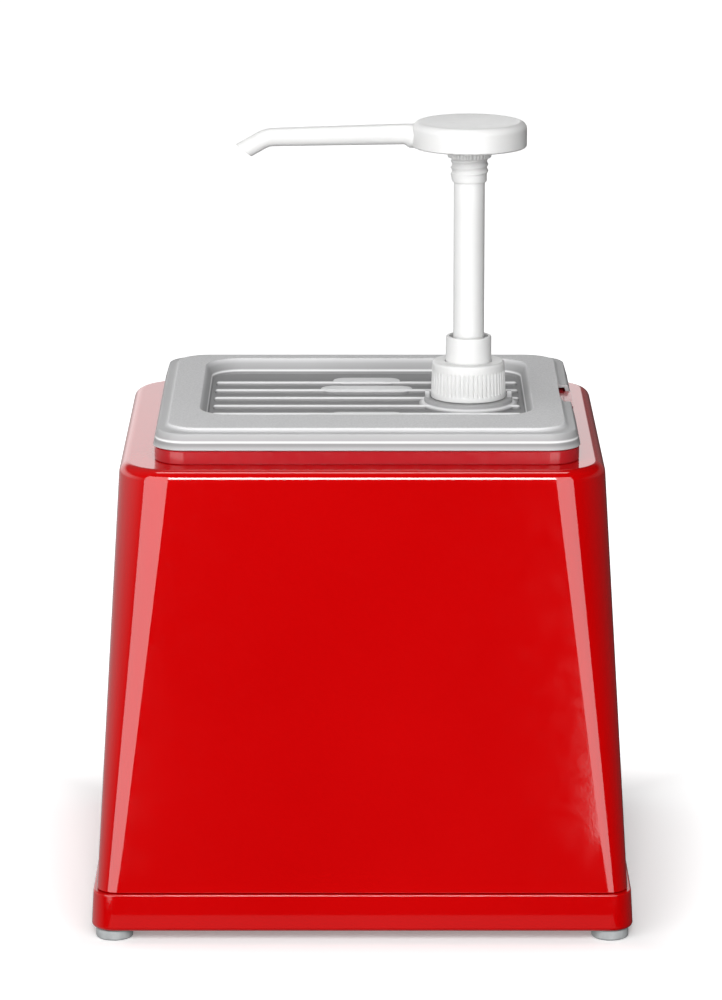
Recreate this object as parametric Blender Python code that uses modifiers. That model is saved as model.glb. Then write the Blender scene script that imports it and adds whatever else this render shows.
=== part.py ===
"""Condiment pump dispenser: a tapered housing holds a food pan, and a screw-on pump stands in the pan's lid.

Metres, +Z up. The origin is on the surface that the feet stand on, below the middle of the housing.
The front faces -Y, the pump stands towards +X and its spout points to -X.
"""

import math

import bmesh
import bpy
from mathutils import Matrix, Vector

GAP = 0.0003  # left between pieces that touch
CORNER_STEPS = 5
ROUND_STEPS = 20
FINE_STEPS = 32
COARSE_STEPS = 12

# Housing: a sleeve that narrows upwards, on a slightly wider plinth with four feet.
FOOT_HEIGHT = 0.0045
FOOT_RADIUS = 0.00775
FOOT_INSET = 0.0096
PLINTH_HALF_X = 0.113
PLINTH_HALF_Y = 0.106
PLINTH_CORNER = 0.010
PLINTH_WALL = 0.004
PLINTH_FLOOR = 0.004
PLINTH_EDGE = 0.002
PLINTH_DRAFT = 0.0009
SEAM_Z = 0.0207
BODY_TOP_Z = 0.198
BODY_LOW_HALF = (0.1106, 0.1036)
BODY_TOP_HALF = (0.1003, 0.0933)
BODY_LOW_CORNER = 0.009
BODY_TOP_CORNER = 0.0215
BODY_WALL = 0.003
RIM_ROUND = 0.0043
OPENING_HALF = (0.080, 0.073)
OPENING_CORNER = 0.012
OPENING_LIP_DEPTH = 0.012
UPSTAND_WALL = 0.0024
UPSTAND_TOP_Z = 0.2036
UPSTAND_EDGE = 0.0008
BOSS_RADIUS = 0.0045
BOSS_TOP_Z = 0.036

# Foot screws.
SCREW_SHANK_RADIUS = 0.0015
SCREW_HEAD_RADIUS = 0.0038
SCREW_HOLE_RADIUS = 0.0019
SCREW_TOP_Z = 0.030
SCREW_HEAD_LOW_Z = 0.0006
SCREW_HEAD_TOP_Z = 0.0022

# Food pan of the 1/6 size, and its lid.
PAN_FLOOR_Z = 0.0587
PAN_LIP_LOW_Z = BODY_TOP_Z + GAP
PAN_LIP_TOP_Z = 0.2084
PAN_LIP_UNDER_Z = 0.2062
PAN_CHANNEL_Z = (0.2029, 0.2046)
PAN_LEDGE_Z = 0.2037
PAN_LOW_HALF = (0.066, 0.059)
PAN_MOUTH_HALF = (0.0785, 0.0715)
PAN_LOW_CORNER = 0.020
PAN_MOUTH_CORNER = 0.011
PAN_WALL = 0.0021
PAN_FLOOR = 0.0025
PAN_FLOOR_ROUND = 0.008
PAN_SKIRT_INSET = (0.0005, 0.0023)  # its outer and inner faces, from the lid's edge
PAN_STEP_INSET = (0.0037, 0.0053)
PAN_SKIRT_CORNER = (0.0128, 0.0115)
PAN_STEP_CORNER = (0.0115, 0.0105)
PAN_LIP_EDGE = 0.0006
PAN_MOUTH_EDGE = 0.0009
PAN_X = 0.0019  # the opening, pan and lid stand this far off the housing's middle
SIDE_DIFFERENCE = 0.007  # the pan, lid and rim are this much shorter in Y, each side of the middle
LID_HALF = 0.0884
LID_DRAFT = 0.0016
LID_CORNER = 0.013
LID_SKIRT_LOW_Z = 0.2040
LID_FLANGE_LOW_Z = 0.2088
LID_FLANGE_TOP_Z = 0.2108
LID_PLATEAU_Z = 0.2125
LID_PLATEAU_HALF = 0.0825
LID_WALL = 0.0016
RECESS_HALF = (0.0698, 0.0585)
RECESS_CENTRE_Y = 0.0085
RECESS_SLOPE = 0.0030
RECESS_CORNER = 0.015
RECESS_FLOOR_Z = 0.206
RECESS_UNDER_Z = 0.2042
RIB_PITCH = 0.0160
RIB_FIRST_Y = -0.0400
RIB_COUNT = 6
RIB_HALF_LENGTH = 0.0655
RIB_RADIUS = 0.0013
PAD_TOP_Z = 0.2073
PADS = ((-0.025, 0.0155, 0.0048), (0.027, 0.0200, 0.0060), (0.044, 0.0148, 0.0060))  # y, half sizes
NOTCH_X = 0.0820
NOTCH_Y = (-0.016, 0.018)
NOTCH_ROUND = 0.003

# Pump: everything is turned about one vertical axis in the lid.
PUMP_X = 0.0453
LID_BOSS_TOP_Z = 0.2095
LID_BOSS_RADIUS = 0.0188
LUG_HEIGHT = 0.0026
NECK_TOP_Z = 0.2193
NECK_RADIUS = 0.0128
NECK_THREAD_RADIUS = 0.0138
NECK_BORE_RADIUS = 0.0112
THREAD_PITCH = 0.0042
GASKET_HEIGHT = 0.0012
FLANGE_RADIUS = 0.0134
CYLINDER_FLANGE_Z = (NECK_TOP_Z + GASKET_HEIGHT + 2 * GAP, 0.2224)
GUIDE_FLANGE_Z = (0.2227, 0.2236)
COLLAR_LOW_Z = 0.2098
COLLAR_PLATE_Z = 0.2239
COLLAR_TOP_Z = 0.2254
COLLAR_LOW_RADIUS = 0.0160
COLLAR_TOP_RADIUS = 0.0154
COLLAR_BORE_RADIUS = 0.0146
COLLAR_THREAD_RADIUS = 0.0142
COLLAR_HOLE_RADIUS = 0.0101
GUIDE_TOP_Z = 0.2362
GUIDE_SLEEVE_RADIUS = 0.00975
GUIDE_CUP_RADIUS = 0.0082
GUIDE_CUP_FLOOR_Z = 0.2247
GUIDE_LOW_Z = 0.2031
CYLINDER_RADIUS = 0.0108
CYLINDER_BORE_RADIUS = 0.0097
CYLINDER_FLOOR_Z = 0.1110
INLET_TOP_RADIUS = 0.0050
INLET_SEAT_RADIUS = 0.0030
NOZZLE_RADIUS = 0.0064
NOZZLE_LOW_Z = 0.0930
TUBE_RADIUS = 0.0045
TUBE_BORE_RADIUS = 0.0035
TUBE_Z = (0.0668, 0.1047)
INLET_BALL_RADIUS = 0.0040
OUTLET_BALL_RADIUS = 0.0030
CAGE_HEIGHT = 0.0085
SPRING_RADIUS = 0.0072
SPRING_WIRE_RADIUS = 0.00065
SPRING_END_TURNS = 1.0
SPRING_ACTIVE_TURNS = 7.0
SPRING_POINTS_PER_TURN = 12
WASHER_Z = (0.1887, 0.1902)
PISTON_Z = (0.1908, 0.2027)
PISTON_RADIUS = 0.0095
STEM_RADIUS = 0.0066
STEM_BORE_RADIUS = 0.0042
STEM_SPIGOT_RADIUS = 0.0049
STEM_TOP_Z = 0.3120
OUTLET_SEAT_Z = 0.1992
OUTLET_SEAT_RADIUS = 0.0022
HUB_LOW_Z = 0.3026
HUB_THREAD_Z = (0.3059, 0.3127)
HUB_RADIUS = 0.0074
HUB_THREAD_RADIUS = 0.0080
HUB_RING_RADIUS = 0.0093
HEAD_LOW_Z = 0.3174
HEAD_TOP_Z = 0.3283
HEAD_RADIUS = 0.02425
HEAD_WALL = 0.0020
HEAD_DISH = 0.0007
SPOUT_ROOT_Z = 0.3229
SPOUT_ROOT_RADIUS = 0.00445
SPOUT_END_RADIUS = 0.00390
SPOUT_BORE_RADIUS = 0.0025
SPOUT_STRAIGHT = 0.0828
SPOUT_DROOP = math.radians(1.4)
SPOUT_BEND = math.radians(28)
SPOUT_BEND_RADIUS = 0.011
SPOUT_TIP_STRAIGHT = 0.012
SPOUT_CUT_AT = (0.0958, 0.3163)  # distance from the pump's axis, and height
SPOUT_CUT_ANGLE = math.radians(53)

WHITE = (0.90, 0.90, 0.89)
RED = (0.60, 0.002, 0.002)
GREY = (0.36, 0.38, 0.38)
FROST = (0.62, 0.63, 0.63)
STEEL = (0.60, 0.60, 0.62)
BALL_STEEL = (0.75, 0.75, 0.77)
SEAL_WHITE = (0.80, 0.80, 0.78)


def clear_scene():
    for obj in list(bpy.data.objects):
        bpy.data.objects.remove(obj, do_unlink=True)


def new_collection(name):
    collection = bpy.data.collections.new(name)
    bpy.context.scene.collection.children.link(collection)
    return collection


clear_scene()
PARTS = new_collection("condiment_pump_dispenser")
TOOLS = new_collection("cutters")


def plastic(name, color, roughness=0.35, metallic=0.0, alpha=1.0):
    material = bpy.data.materials.new(name)
    material.use_nodes = True
    shader = material.node_tree.nodes["Principled BSDF"]
    shader.inputs["Base Color"].default_value = (*color, 1.0)
    shader.inputs["Roughness"].default_value = roughness
    shader.inputs["Metallic"].default_value = metallic
    shader.inputs["Alpha"].default_value = alpha
    return material


def place(name, mesh, material=None, at=(0, 0, 0), parent=None):
    """Adds the mesh as a part, or as a hidden cutter when it has no material."""
    obj = bpy.data.objects.new(name, mesh)
    obj.location = at
    if material is None:
        TOOLS.objects.link(obj)
        obj.hide_render = True
        obj.display_type = "WIRE"
        return obj
    PARTS.objects.link(obj)
    mesh.materials.append(material)
    if parent:
        obj.parent = parent
        obj.matrix_parent_inverse = Matrix.Translation(-parent.location)
    return obj


def empty(name, at, parent=None):
    """An empty on a joint's axis, which the pieces of one moving body hang on."""
    obj = bpy.data.objects.new(name, None)
    obj.empty_display_size = 0.02
    obj.location = at
    PARTS.objects.link(obj)
    if parent:
        obj.parent = parent
        obj.matrix_parent_inverse = Matrix.Translation(-parent.location)
    return obj


def boolean(obj, other, operation):
    modifier = obj.modifiers.new(other.name, "BOOLEAN")
    modifier.operation = operation
    modifier.solver = "EXACT"
    modifier.object = other


def smooth(mesh):
    mesh.shade_smooth()
    mesh.set_sharp_from_angle(angle=math.radians(35))


def mix(low, high, share):
    return low + (high - low) * share


# ---- rings of a rounded rectangle, and lofts through them


def ring(half, corner, z, centre_y=0.0):
    """The points of a rounded rectangle at height z, anticlockwise seen from above."""
    half_x, half_y = half
    points = []
    for quarter, (side_x, side_y) in enumerate(((1, 1), (-1, 1), (-1, -1), (1, -1))):
        middle_x = side_x * (half_x - corner)
        middle_y = side_y * (half_y - corner) + centre_y
        for step in range(CORNER_STEPS + 1):
            angle = math.pi / 2 * (quarter + step / CORNER_STEPS)
            x = middle_x + corner * math.cos(angle)
            y = middle_y + corner * math.sin(angle)
            points.append(Vector((x, y, z)))
    return points


def loft_mesh(name, rings, closed_loop=False):
    """Joins the rings in order, and caps the first and last ones unless the loop is closed."""
    work = bmesh.new()
    rows = [[work.verts.new(point) for point in points] for points in rings]
    count = len(rows[0])
    pairs = list(zip(rows, rows[1:]))
    if closed_loop:
        pairs.append((rows[-1], rows[0]))
    for low, high in pairs:
        for i in range(count):
            j = (i + 1) % count
            work.faces.new((low[i], low[j], high[j], high[i]))
    if not closed_loop:
        work.faces.new(reversed(rows[0]))
        work.faces.new(rows[-1])
    mesh = bpy.data.meshes.new(name)
    work.to_mesh(mesh)
    work.free()
    smooth(mesh)
    return mesh


# ---- turned pieces


def turned_mesh(name, profile, steps=ROUND_STEPS, hollow=False):
    """Turns (radius, z) points about Z. They run down the outer side, and back up the bore when hollow."""
    mesh = bpy.data.meshes.new(name)
    points = [(radius, 0.0, z) for radius, z in profile]
    edges = [(i, i + 1) for i in range(len(points) - 1)]
    if hollow:
        edges.append((len(points) - 1, 0))
    mesh.from_pydata(points, edges, [])
    holder = bpy.data.objects.new(name, mesh)
    TOOLS.objects.link(holder)
    screw = holder.modifiers.new("turn", "SCREW")
    screw.steps = steps
    screw.render_steps = steps
    screw.use_merge_vertices = True
    screw.merge_threshold = 1e-6
    turned = bpy.data.meshes.new_from_object(holder.evaluated_get(bpy.context.evaluated_depsgraph_get()))
    bpy.data.objects.remove(holder)
    bpy.data.meshes.remove(mesh)
    turned.name = name
    weld(turned)
    smooth(turned)
    return turned


def weld(mesh, distance=1e-6):
    work = bmesh.new()
    work.from_mesh(mesh)
    bmesh.ops.remove_doubles(work, verts=work.verts, dist=distance)
    work.to_mesh(mesh)
    work.free()


def rod_mesh(name, radius, low, high, steps=ROUND_STEPS):
    """An upright solid rod between two heights."""
    return turned_mesh(name, [(0, high), (radius, high), (radius, low), (0, low)], steps)


def ball_mesh(name, radius):
    work = bmesh.new()
    bmesh.ops.create_uvsphere(work, u_segments=COARSE_STEPS, v_segments=8, radius=radius)
    mesh = bpy.data.meshes.new(name)
    work.to_mesh(mesh)
    work.free()
    smooth(mesh)
    return mesh


def box_mesh(name, low, high):
    size = Vector(high) - Vector(low)
    middle = (Vector(high) + Vector(low)) / 2
    work = bmesh.new()
    matrix = Matrix.Translation(middle) @ Matrix.Diagonal((*size, 1))
    bmesh.ops.create_cube(work, size=1, matrix=matrix)
    mesh = bpy.data.meshes.new(name)
    work.to_mesh(mesh)
    work.free()
    return mesh


def tube_mesh(name, points, radii, sides_step):
    """A bevelled POLY curve through the points, made a closed mesh. radii has one radius for each point."""
    curve = bpy.data.curves.new(name, "CURVE")
    curve.dimensions = "3D"
    curve.bevel_depth = radii[0]
    curve.bevel_resolution = sides_step
    curve.use_fill_caps = True
    spline = curve.splines.new("POLY")
    spline.points.add(len(points) - 1)
    for control, point, radius in zip(spline.points, points, radii):
        control.co = (*point, 1)
        control.radius = radius / radii[0]
    holder = bpy.data.objects.new(name, curve)
    TOOLS.objects.link(holder)
    mesh = bpy.data.meshes.new_from_object(holder.evaluated_get(bpy.context.evaluated_depsgraph_get()))
    bpy.data.objects.remove(holder)
    bpy.data.curves.remove(curve)
    mesh.name = name
    weld(mesh, 1e-5)
    smooth(mesh)
    return mesh


# ---- housing, plinth, feet and screws


def body_ring(z, inset=0.0):
    """A ring of the housing's tapered outer face at height z, moved inwards by inset."""
    share = (z - SEAM_Z) / (BODY_TOP_Z - SEAM_Z)
    half = [mix(low, high, share) - inset for low, high in zip(BODY_LOW_HALF, BODY_TOP_HALF)]
    return ring(half, mix(BODY_LOW_CORNER, BODY_TOP_CORNER, share) - inset, z)


def opening_ring(z, outset=0.0):
    points = ring([half + outset for half in OPENING_HALF], OPENING_CORNER + outset, z)
    return [point + Vector((PAN_X, 0, 0)) for point in points]


def housing_shell(material):
    """The tapered sleeve, with a flat rim, and an upstand round the opening that keeps the pan in place."""
    rim_round = []
    for degrees in (0, 30, 60, 90):
        angle = math.radians(degrees)
        rise = RIM_ROUND * (math.sin(angle) - 1)
        rim_round.append(body_ring(BODY_TOP_Z + rise, RIM_ROUND * (1 - math.cos(angle))))
    lip_low = BODY_TOP_Z - OPENING_LIP_DEPTH
    rim_under = BODY_TOP_Z - BODY_WALL
    upstand_round = UPSTAND_TOP_Z - UPSTAND_EDGE
    rings = [body_ring(SEAM_Z), *rim_round]
    rings += [opening_ring(BODY_TOP_Z, UPSTAND_WALL), opening_ring(upstand_round, UPSTAND_WALL)]
    rings += [opening_ring(UPSTAND_TOP_Z, UPSTAND_WALL - UPSTAND_EDGE), opening_ring(UPSTAND_TOP_Z, UPSTAND_EDGE)]
    rings.append(opening_ring(upstand_round))
    rings += [opening_ring(lip_low), opening_ring(lip_low, UPSTAND_WALL), opening_ring(rim_under, UPSTAND_WALL)]
    rings += [body_ring(rim_under, BODY_WALL), body_ring(SEAM_Z, BODY_WALL)]
    shell = place("housing_shell", loft_mesh("housing_shell", rings, closed_loop=True), material)
    for index, (x, y) in enumerate(foot_places()):
        boss_low = FOOT_HEIGHT + PLINTH_FLOOR + GAP
        boss = place(f"boss_{index}", rod_mesh("boss", BOSS_RADIUS, boss_low, BOSS_TOP_Z), None, (x, y, 0))
        boolean(shell, boss, "UNION")
    for index, (x, y) in enumerate(foot_places()):
        hole = rod_mesh("pilot", SCREW_HOLE_RADIUS, FOOT_HEIGHT, SCREW_TOP_Z + 0.001, COARSE_STEPS)
        boolean(shell, place(f"pilot_{index}", hole, None, (x, y, 0)), "DIFFERENCE")
    return shell


def foot_places():
    x = PLINTH_HALF_X - FOOT_INSET
    y = PLINTH_HALF_Y - FOOT_INSET
    return ((x, -y), (-x, -y), (-x, y), (x, y))


def base_plinth(material):
    def plinth_ring(z, inset=0.0):
        return ring((PLINTH_HALF_X - inset, PLINTH_HALF_Y - inset), PLINTH_CORNER - inset, z)

    top_z = SEAM_Z - GAP
    chamfer = 0.0006
    floor_z = FOOT_HEIGHT + PLINTH_FLOOR
    rings = []
    for degrees in (90, 45, 0):
        angle = math.radians(degrees)
        rise = PLINTH_EDGE * (1 - math.sin(angle))
        rings.append(plinth_ring(FOOT_HEIGHT + rise, PLINTH_EDGE * (1 - math.cos(angle))))
    rings += [plinth_ring(top_z - chamfer, PLINTH_DRAFT), plinth_ring(top_z, PLINTH_DRAFT + chamfer)]
    rings += [plinth_ring(top_z, PLINTH_WALL), plinth_ring(floor_z, PLINTH_WALL)]
    plinth = place("base_plinth", loft_mesh("base_plinth", rings), material)
    for index, (x, y) in enumerate(foot_places()):
        hole = rod_mesh("screw_hole", SCREW_HOLE_RADIUS, 0, SEAM_Z, COARSE_STEPS)
        boolean(plinth, place(f"screw_hole_{index}", hole, None, (x, y, 0)), "DIFFERENCE")
    return plinth


def rubber_foot(index, x, y, material):
    top = FOOT_HEIGHT - GAP
    edge = 0.0008
    well = SCREW_HEAD_RADIUS + 0.0005
    well_top = SCREW_HEAD_TOP_Z + GAP
    profile = [
        (FOOT_RADIUS, top),
        (FOOT_RADIUS, edge),
        (FOOT_RADIUS - edge, 0),
        (well, 0),
        (well, well_top),
        (SCREW_HOLE_RADIUS, well_top),
        (SCREW_HOLE_RADIUS, top),
    ]
    mesh = turned_mesh("rubber_foot", profile, hollow=True)
    place(f"rubber_foot_{index}", mesh, material, (x, y, 0))


def foot_screw(index, x, y, material):
    profile = [
        (0, SCREW_TOP_Z),
        (SCREW_SHANK_RADIUS * 0.4, SCREW_TOP_Z),
        (SCREW_SHANK_RADIUS, SCREW_TOP_Z - 0.002),
        (SCREW_SHANK_RADIUS, SCREW_HEAD_TOP_Z),
        (SCREW_HEAD_RADIUS, SCREW_HEAD_TOP_Z),
        (SCREW_HEAD_RADIUS, SCREW_HEAD_LOW_Z + 0.0007),
        (SCREW_HEAD_RADIUS * 0.7, SCREW_HEAD_LOW_Z),
        (0, SCREW_HEAD_LOW_Z),
    ]
    place(f"foot_screw_{index}", turned_mesh("foot_screw", profile, COARSE_STEPS), material, (x, y, 0))


# ---- food pan and lid


def oblong(half_x, corner, z):
    """A ring of the pan's and lid's outline, whose Y half is shorter than its X half."""
    return ring((half_x, half_x - SIDE_DIFFERENCE), corner, z)


def pan_ring(z, inset=0.0):
    """A ring of the pan's tapered outer face at height z, moved inwards by inset."""
    share = (z - PAN_FLOOR_Z) / (PAN_LIP_TOP_Z - PAN_FLOOR_Z)
    half = [mix(low, high, share) - inset for low, high in zip(PAN_LOW_HALF, PAN_MOUTH_HALF)]
    corner = mix(PAN_LOW_CORNER, PAN_MOUTH_CORNER, share)
    return ring(half, max(corner - inset, 0.002), z)


def floor_round(floor_z, radius, inset):
    """The rings of the rounded edge between the pan's floor and its wall, from the floor up."""
    rings = []
    for degrees in (0, 30, 60, 90):
        angle = math.radians(degrees)
        rings.append(pan_ring(floor_z + radius * (1 - math.cos(angle)), inset + radius * (1 - math.sin(angle))))
    return rings


def food_pan(material):
    """A tapered pan whose lip steps out over the upstand and ends in a short skirt on the rim."""
    skirt_outer, skirt_inner = (LID_HALF - inset for inset in PAN_SKIRT_INSET)
    step_outer, step_inner = (LID_HALF - inset for inset in PAN_STEP_INSET)
    outer_corner, inner_corner = PAN_SKIRT_CORNER
    step_corner, channel_corner = PAN_STEP_CORNER
    channel_low, channel_high = PAN_CHANNEL_Z
    rings = floor_round(PAN_FLOOR_Z, PAN_FLOOR_ROUND, 0.0)
    rings.append(pan_ring(PAN_LIP_UNDER_Z))
    rings.append(oblong(step_inner, channel_corner, PAN_LIP_UNDER_Z))
    rings.append(oblong(step_inner, channel_corner, channel_high))
    rings.append(oblong(skirt_inner, inner_corner, channel_low))
    rings.append(oblong(skirt_inner, inner_corner, PAN_LIP_LOW_Z))
    rings.append(oblong(skirt_outer, outer_corner, PAN_LIP_LOW_Z))
    rings.append(oblong(skirt_outer, outer_corner, PAN_LEDGE_Z))
    rings.append(oblong(step_outer, step_corner, PAN_LEDGE_Z))
    rings.append(oblong(step_outer, step_corner, PAN_LIP_TOP_Z - PAN_LIP_EDGE))
    rings.append(oblong(step_outer - PAN_LIP_EDGE, step_corner - PAN_LIP_EDGE / 2, PAN_LIP_TOP_Z))
    rings.append(pan_ring(PAN_LIP_TOP_Z, PAN_WALL - PAN_MOUTH_EDGE))
    rings.append(pan_ring(PAN_LIP_TOP_Z - PAN_MOUTH_EDGE, PAN_WALL))
    inner_round = floor_round(PAN_FLOOR_Z + PAN_FLOOR, PAN_FLOOR_ROUND - PAN_WALL, PAN_WALL)
    rings += reversed(inner_round)
    return place("food_pan", loft_mesh("food_pan", rings), material, (PAN_X, 0, 0))


def lid_plate(material):
    def recess(inset, z):
        half = [side - inset for side in RECESS_HALF]
        return ring(half, RECESS_CORNER - inset, z, RECESS_CENTRE_Y)

    wall = 0.0015
    inner = LID_HALF - LID_WALL
    top = LID_HALF - LID_DRAFT
    rings = [recess(RECESS_SLOPE - wall, RECESS_UNDER_Z), recess(-wall, LID_PLATEAU_Z - 0.0019)]
    rings.append(oblong(0.0800, 0.0120, LID_PLATEAU_Z - 0.0019))
    rings.append(oblong(0.0806, 0.0120, LID_FLANGE_LOW_Z))
    rings.append(oblong(inner - LID_DRAFT, LID_CORNER - LID_WALL, LID_FLANGE_LOW_Z))
    rings.append(oblong(inner, LID_CORNER - LID_WALL, LID_SKIRT_LOW_Z))
    rings.append(oblong(LID_HALF, LID_CORNER, LID_SKIRT_LOW_Z))
    rings.append(oblong(top, LID_CORNER, LID_FLANGE_TOP_Z - 0.0008))
    rings.append(oblong(top - 0.0008, LID_CORNER - 0.0008, LID_FLANGE_TOP_Z))
    rings.append(oblong(LID_PLATEAU_HALF + 0.0009, LID_CORNER, LID_FLANGE_TOP_Z))
    rings.append(oblong(LID_PLATEAU_HALF, LID_CORNER, LID_PLATEAU_Z - 0.0003))
    rings.append(oblong(LID_PLATEAU_HALF - 0.0006, LID_CORNER, LID_PLATEAU_Z))
    rings += [recess(-0.0004, LID_PLATEAU_Z), recess(0.0002, LID_PLATEAU_Z - 0.0006)]
    rings.append(recess(RECESS_SLOPE, RECESS_FLOOR_Z))
    return place("pan_lid", loft_mesh("pan_lid", rings), material, (PAN_X, 0, 0))


def lid_boss_mesh():
    """The stepped boss and the threaded neck, solid; the bore is cut from it with the lid."""
    floor = RECESS_UNDER_Z + 0.0006
    profile = [(0, NECK_TOP_Z), (NECK_RADIUS - 0.0004, NECK_TOP_Z), (NECK_RADIUS, NECK_TOP_Z - 0.0004)]
    for turn in range(2):
        crest = NECK_TOP_Z - 0.0024 - turn * THREAD_PITCH
        profile += [
            (NECK_RADIUS, crest + 0.0010),
            (NECK_THREAD_RADIUS, crest + 0.0004),
            (NECK_THREAD_RADIUS, crest - 0.0004),
            (NECK_RADIUS, crest - 0.0010),
        ]
    profile += [
        (NECK_RADIUS, LID_BOSS_TOP_Z),
        (LID_BOSS_RADIUS - 0.0005, LID_BOSS_TOP_Z),
        (LID_BOSS_RADIUS, LID_BOSS_TOP_Z - 0.0005),
        (LID_BOSS_RADIUS, LID_BOSS_TOP_Z - 0.0019),
        (LID_BOSS_RADIUS + 0.0022, RECESS_FLOOR_Z + 0.0010),
        (LID_BOSS_RADIUS + 0.0022, floor),
        (0, floor),
    ]
    return turned_mesh("lid_boss", profile, FINE_STEPS)


def lid_rib_mesh(y):
    """A low round-topped rib along X, sunk a little into the recess floor."""
    work = bmesh.new()
    turn = Matrix.Rotation(math.pi / 2, 4, "Y")
    matrix = Matrix.Translation((0, y, RECESS_FLOOR_Z + 0.0001)) @ turn
    bmesh.ops.create_cone(
        work,
        cap_ends=True,
        segments=10,
        radius1=RIB_RADIUS,
        radius2=RIB_RADIUS,
        depth=2 * RIB_HALF_LENGTH,
        matrix=matrix,
    )
    mesh = bpy.data.meshes.new("lid_rib")
    work.to_mesh(mesh)
    work.free()
    return mesh


def pan_lid(material):
    lid = lid_plate(material)
    at = (PAN_X, 0, 0)
    boolean(lid, place("finger_notch", notch_mesh(), None, at), "DIFFERENCE")
    for index in range(RIB_COUNT):
        rib = place(f"lid_rib_{index}", lid_rib_mesh(RIB_FIRST_Y + index * RIB_PITCH), None, at)
        boolean(lid, rib, "UNION")
    for index, (y, half_x, half_y) in enumerate(PADS):
        low = RECESS_FLOOR_Z - 0.0008
        corner = half_y * 0.98
        rings = [ring((half_x, half_y), corner, z, y) for z in (low, PAD_TOP_Z)]
        boolean(lid, place(f"blank_pad_{index}", loft_mesh("blank_pad", rings), None, at), "UNION")
    boss = place("lid_boss", lid_boss_mesh(), None, (PUMP_X, 0, 0))
    boolean(lid, boss, "UNION")
    for index, side in enumerate((-1, 1)):
        outer = PUMP_X + side * (LID_BOSS_RADIUS - 0.0004)
        inner = PUMP_X + side * (COLLAR_LOW_RADIUS + 0.0006)
        low = (min(inner, outer), -0.0014, LID_BOSS_TOP_Z - 0.0006)
        high = (max(inner, outer), 0.0014, LID_BOSS_TOP_Z + LUG_HEIGHT)
        boolean(lid, place(f"lug_{index}", box_mesh("lug", low, high)), "UNION")
    bore = rod_mesh("neck_bore", NECK_BORE_RADIUS, RECESS_UNDER_Z - 0.002, NECK_TOP_Z + 0.002, FINE_STEPS)
    boolean(lid, place("neck_bore", bore, None, (PUMP_X, 0, 0)), "DIFFERENCE")
    return lid


def notch_mesh():
    """The finger notch in the lid's right-hand edge, round at its two inner corners."""
    reach = 0.008
    half = ((LID_HALF + reach - NOTCH_X) / 2, (NOTCH_Y[1] - NOTCH_Y[0]) / 2)
    heights = (LID_SKIRT_LOW_Z - 0.002, LID_PLATEAU_Z + 0.002)
    rings = [ring(half, NOTCH_ROUND, z, (NOTCH_Y[0] + NOTCH_Y[1]) / 2) for z in heights]
    mesh = loft_mesh("finger_notch", rings)
    mesh.transform(Matrix.Translation((NOTCH_X + half[0], 0, 0)))
    return mesh


# ---- pump: the fixed pieces


def ring_profile(outer, inner, low, high):
    return [(outer, high), (outer, low), (inner, low), (inner, high)]


def pump_part(name, profile, material, parent, steps=ROUND_STEPS, hollow=True):
    """A piece turned about the pump's axis."""
    mesh = turned_mesh(name, profile, steps, hollow)
    return place(name, mesh, material, (PUMP_X, 0, 0), parent)


def screw_collar(material, parent):
    profile = [
        (COLLAR_TOP_RADIUS - 0.0006, COLLAR_TOP_Z),
        (COLLAR_TOP_RADIUS, COLLAR_TOP_Z - 0.0006),
        (COLLAR_LOW_RADIUS, COLLAR_LOW_Z + 0.0008),
        (COLLAR_LOW_RADIUS, COLLAR_LOW_Z),
        (COLLAR_BORE_RADIUS, COLLAR_LOW_Z),
    ]
    for turn in range(2):
        crest = COLLAR_LOW_Z + 0.0030 + turn * THREAD_PITCH
        profile += [
            (COLLAR_BORE_RADIUS, crest - 0.0009),
            (COLLAR_THREAD_RADIUS, crest - 0.0003),
            (COLLAR_THREAD_RADIUS, crest + 0.0003),
            (COLLAR_BORE_RADIUS, crest + 0.0009),
        ]
    profile += [
        (COLLAR_BORE_RADIUS, COLLAR_PLATE_Z),
        (COLLAR_HOLE_RADIUS, COLLAR_PLATE_Z),
        (COLLAR_HOLE_RADIUS, COLLAR_TOP_Z),
    ]
    pump_part("screw_collar", profile, material, parent, FINE_STEPS)


def stem_guide(material, parent):
    """The sleeve round the stem, with a cup on top for the head's lock thread and a well below for the wiper."""
    plug_radius = CYLINDER_BORE_RADIUS - GAP
    low, high = GUIDE_FLANGE_Z
    profile = [
        (GUIDE_SLEEVE_RADIUS - 0.0003, GUIDE_TOP_Z),
        (GUIDE_SLEEVE_RADIUS, GUIDE_TOP_Z - 0.0003),
        (GUIDE_SLEEVE_RADIUS, high),
        (FLANGE_RADIUS, high),
        (FLANGE_RADIUS, low),
        (plug_radius, low),
        (plug_radius, GUIDE_LOW_Z),
        (plug_radius - 0.0009, GUIDE_LOW_Z),
        (plug_radius - 0.0009, GUIDE_LOW_Z + 0.0058),
        (STEM_RADIUS + GAP, GUIDE_LOW_Z + 0.0058),
        (STEM_RADIUS + GAP, GUIDE_CUP_FLOOR_Z),
        (GUIDE_CUP_RADIUS, GUIDE_CUP_FLOOR_Z),
        (GUIDE_CUP_RADIUS, GUIDE_TOP_Z - 0.0003),
        (GUIDE_CUP_RADIUS + 0.0003, GUIDE_TOP_Z),
    ]
    pump_part("stem_guide", profile, material, parent, FINE_STEPS)


def stem_wiper(material, parent):
    low = GUIDE_LOW_Z + 0.0018
    high = GUIDE_LOW_Z + 0.0055
    outer = CYLINDER_BORE_RADIUS - 2 * GAP - 0.0009
    profile = [
        (outer, high),
        (outer, low),
        (STEM_RADIUS + 0.0012, low),
        (STEM_RADIUS + GAP, low + 0.0012),
        (STEM_RADIUS + GAP, high - 0.0012),
        (STEM_RADIUS + 0.0012, high),
    ]
    pump_part("stem_wiper", profile, material, parent)


def neck_gasket(material, parent):
    low = NECK_TOP_Z + GAP
    profile = ring_profile(FLANGE_RADIUS, CYLINDER_RADIUS + GAP, low, low + GASKET_HEIGHT)
    pump_part("neck_gasket", profile, material, parent)


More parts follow.
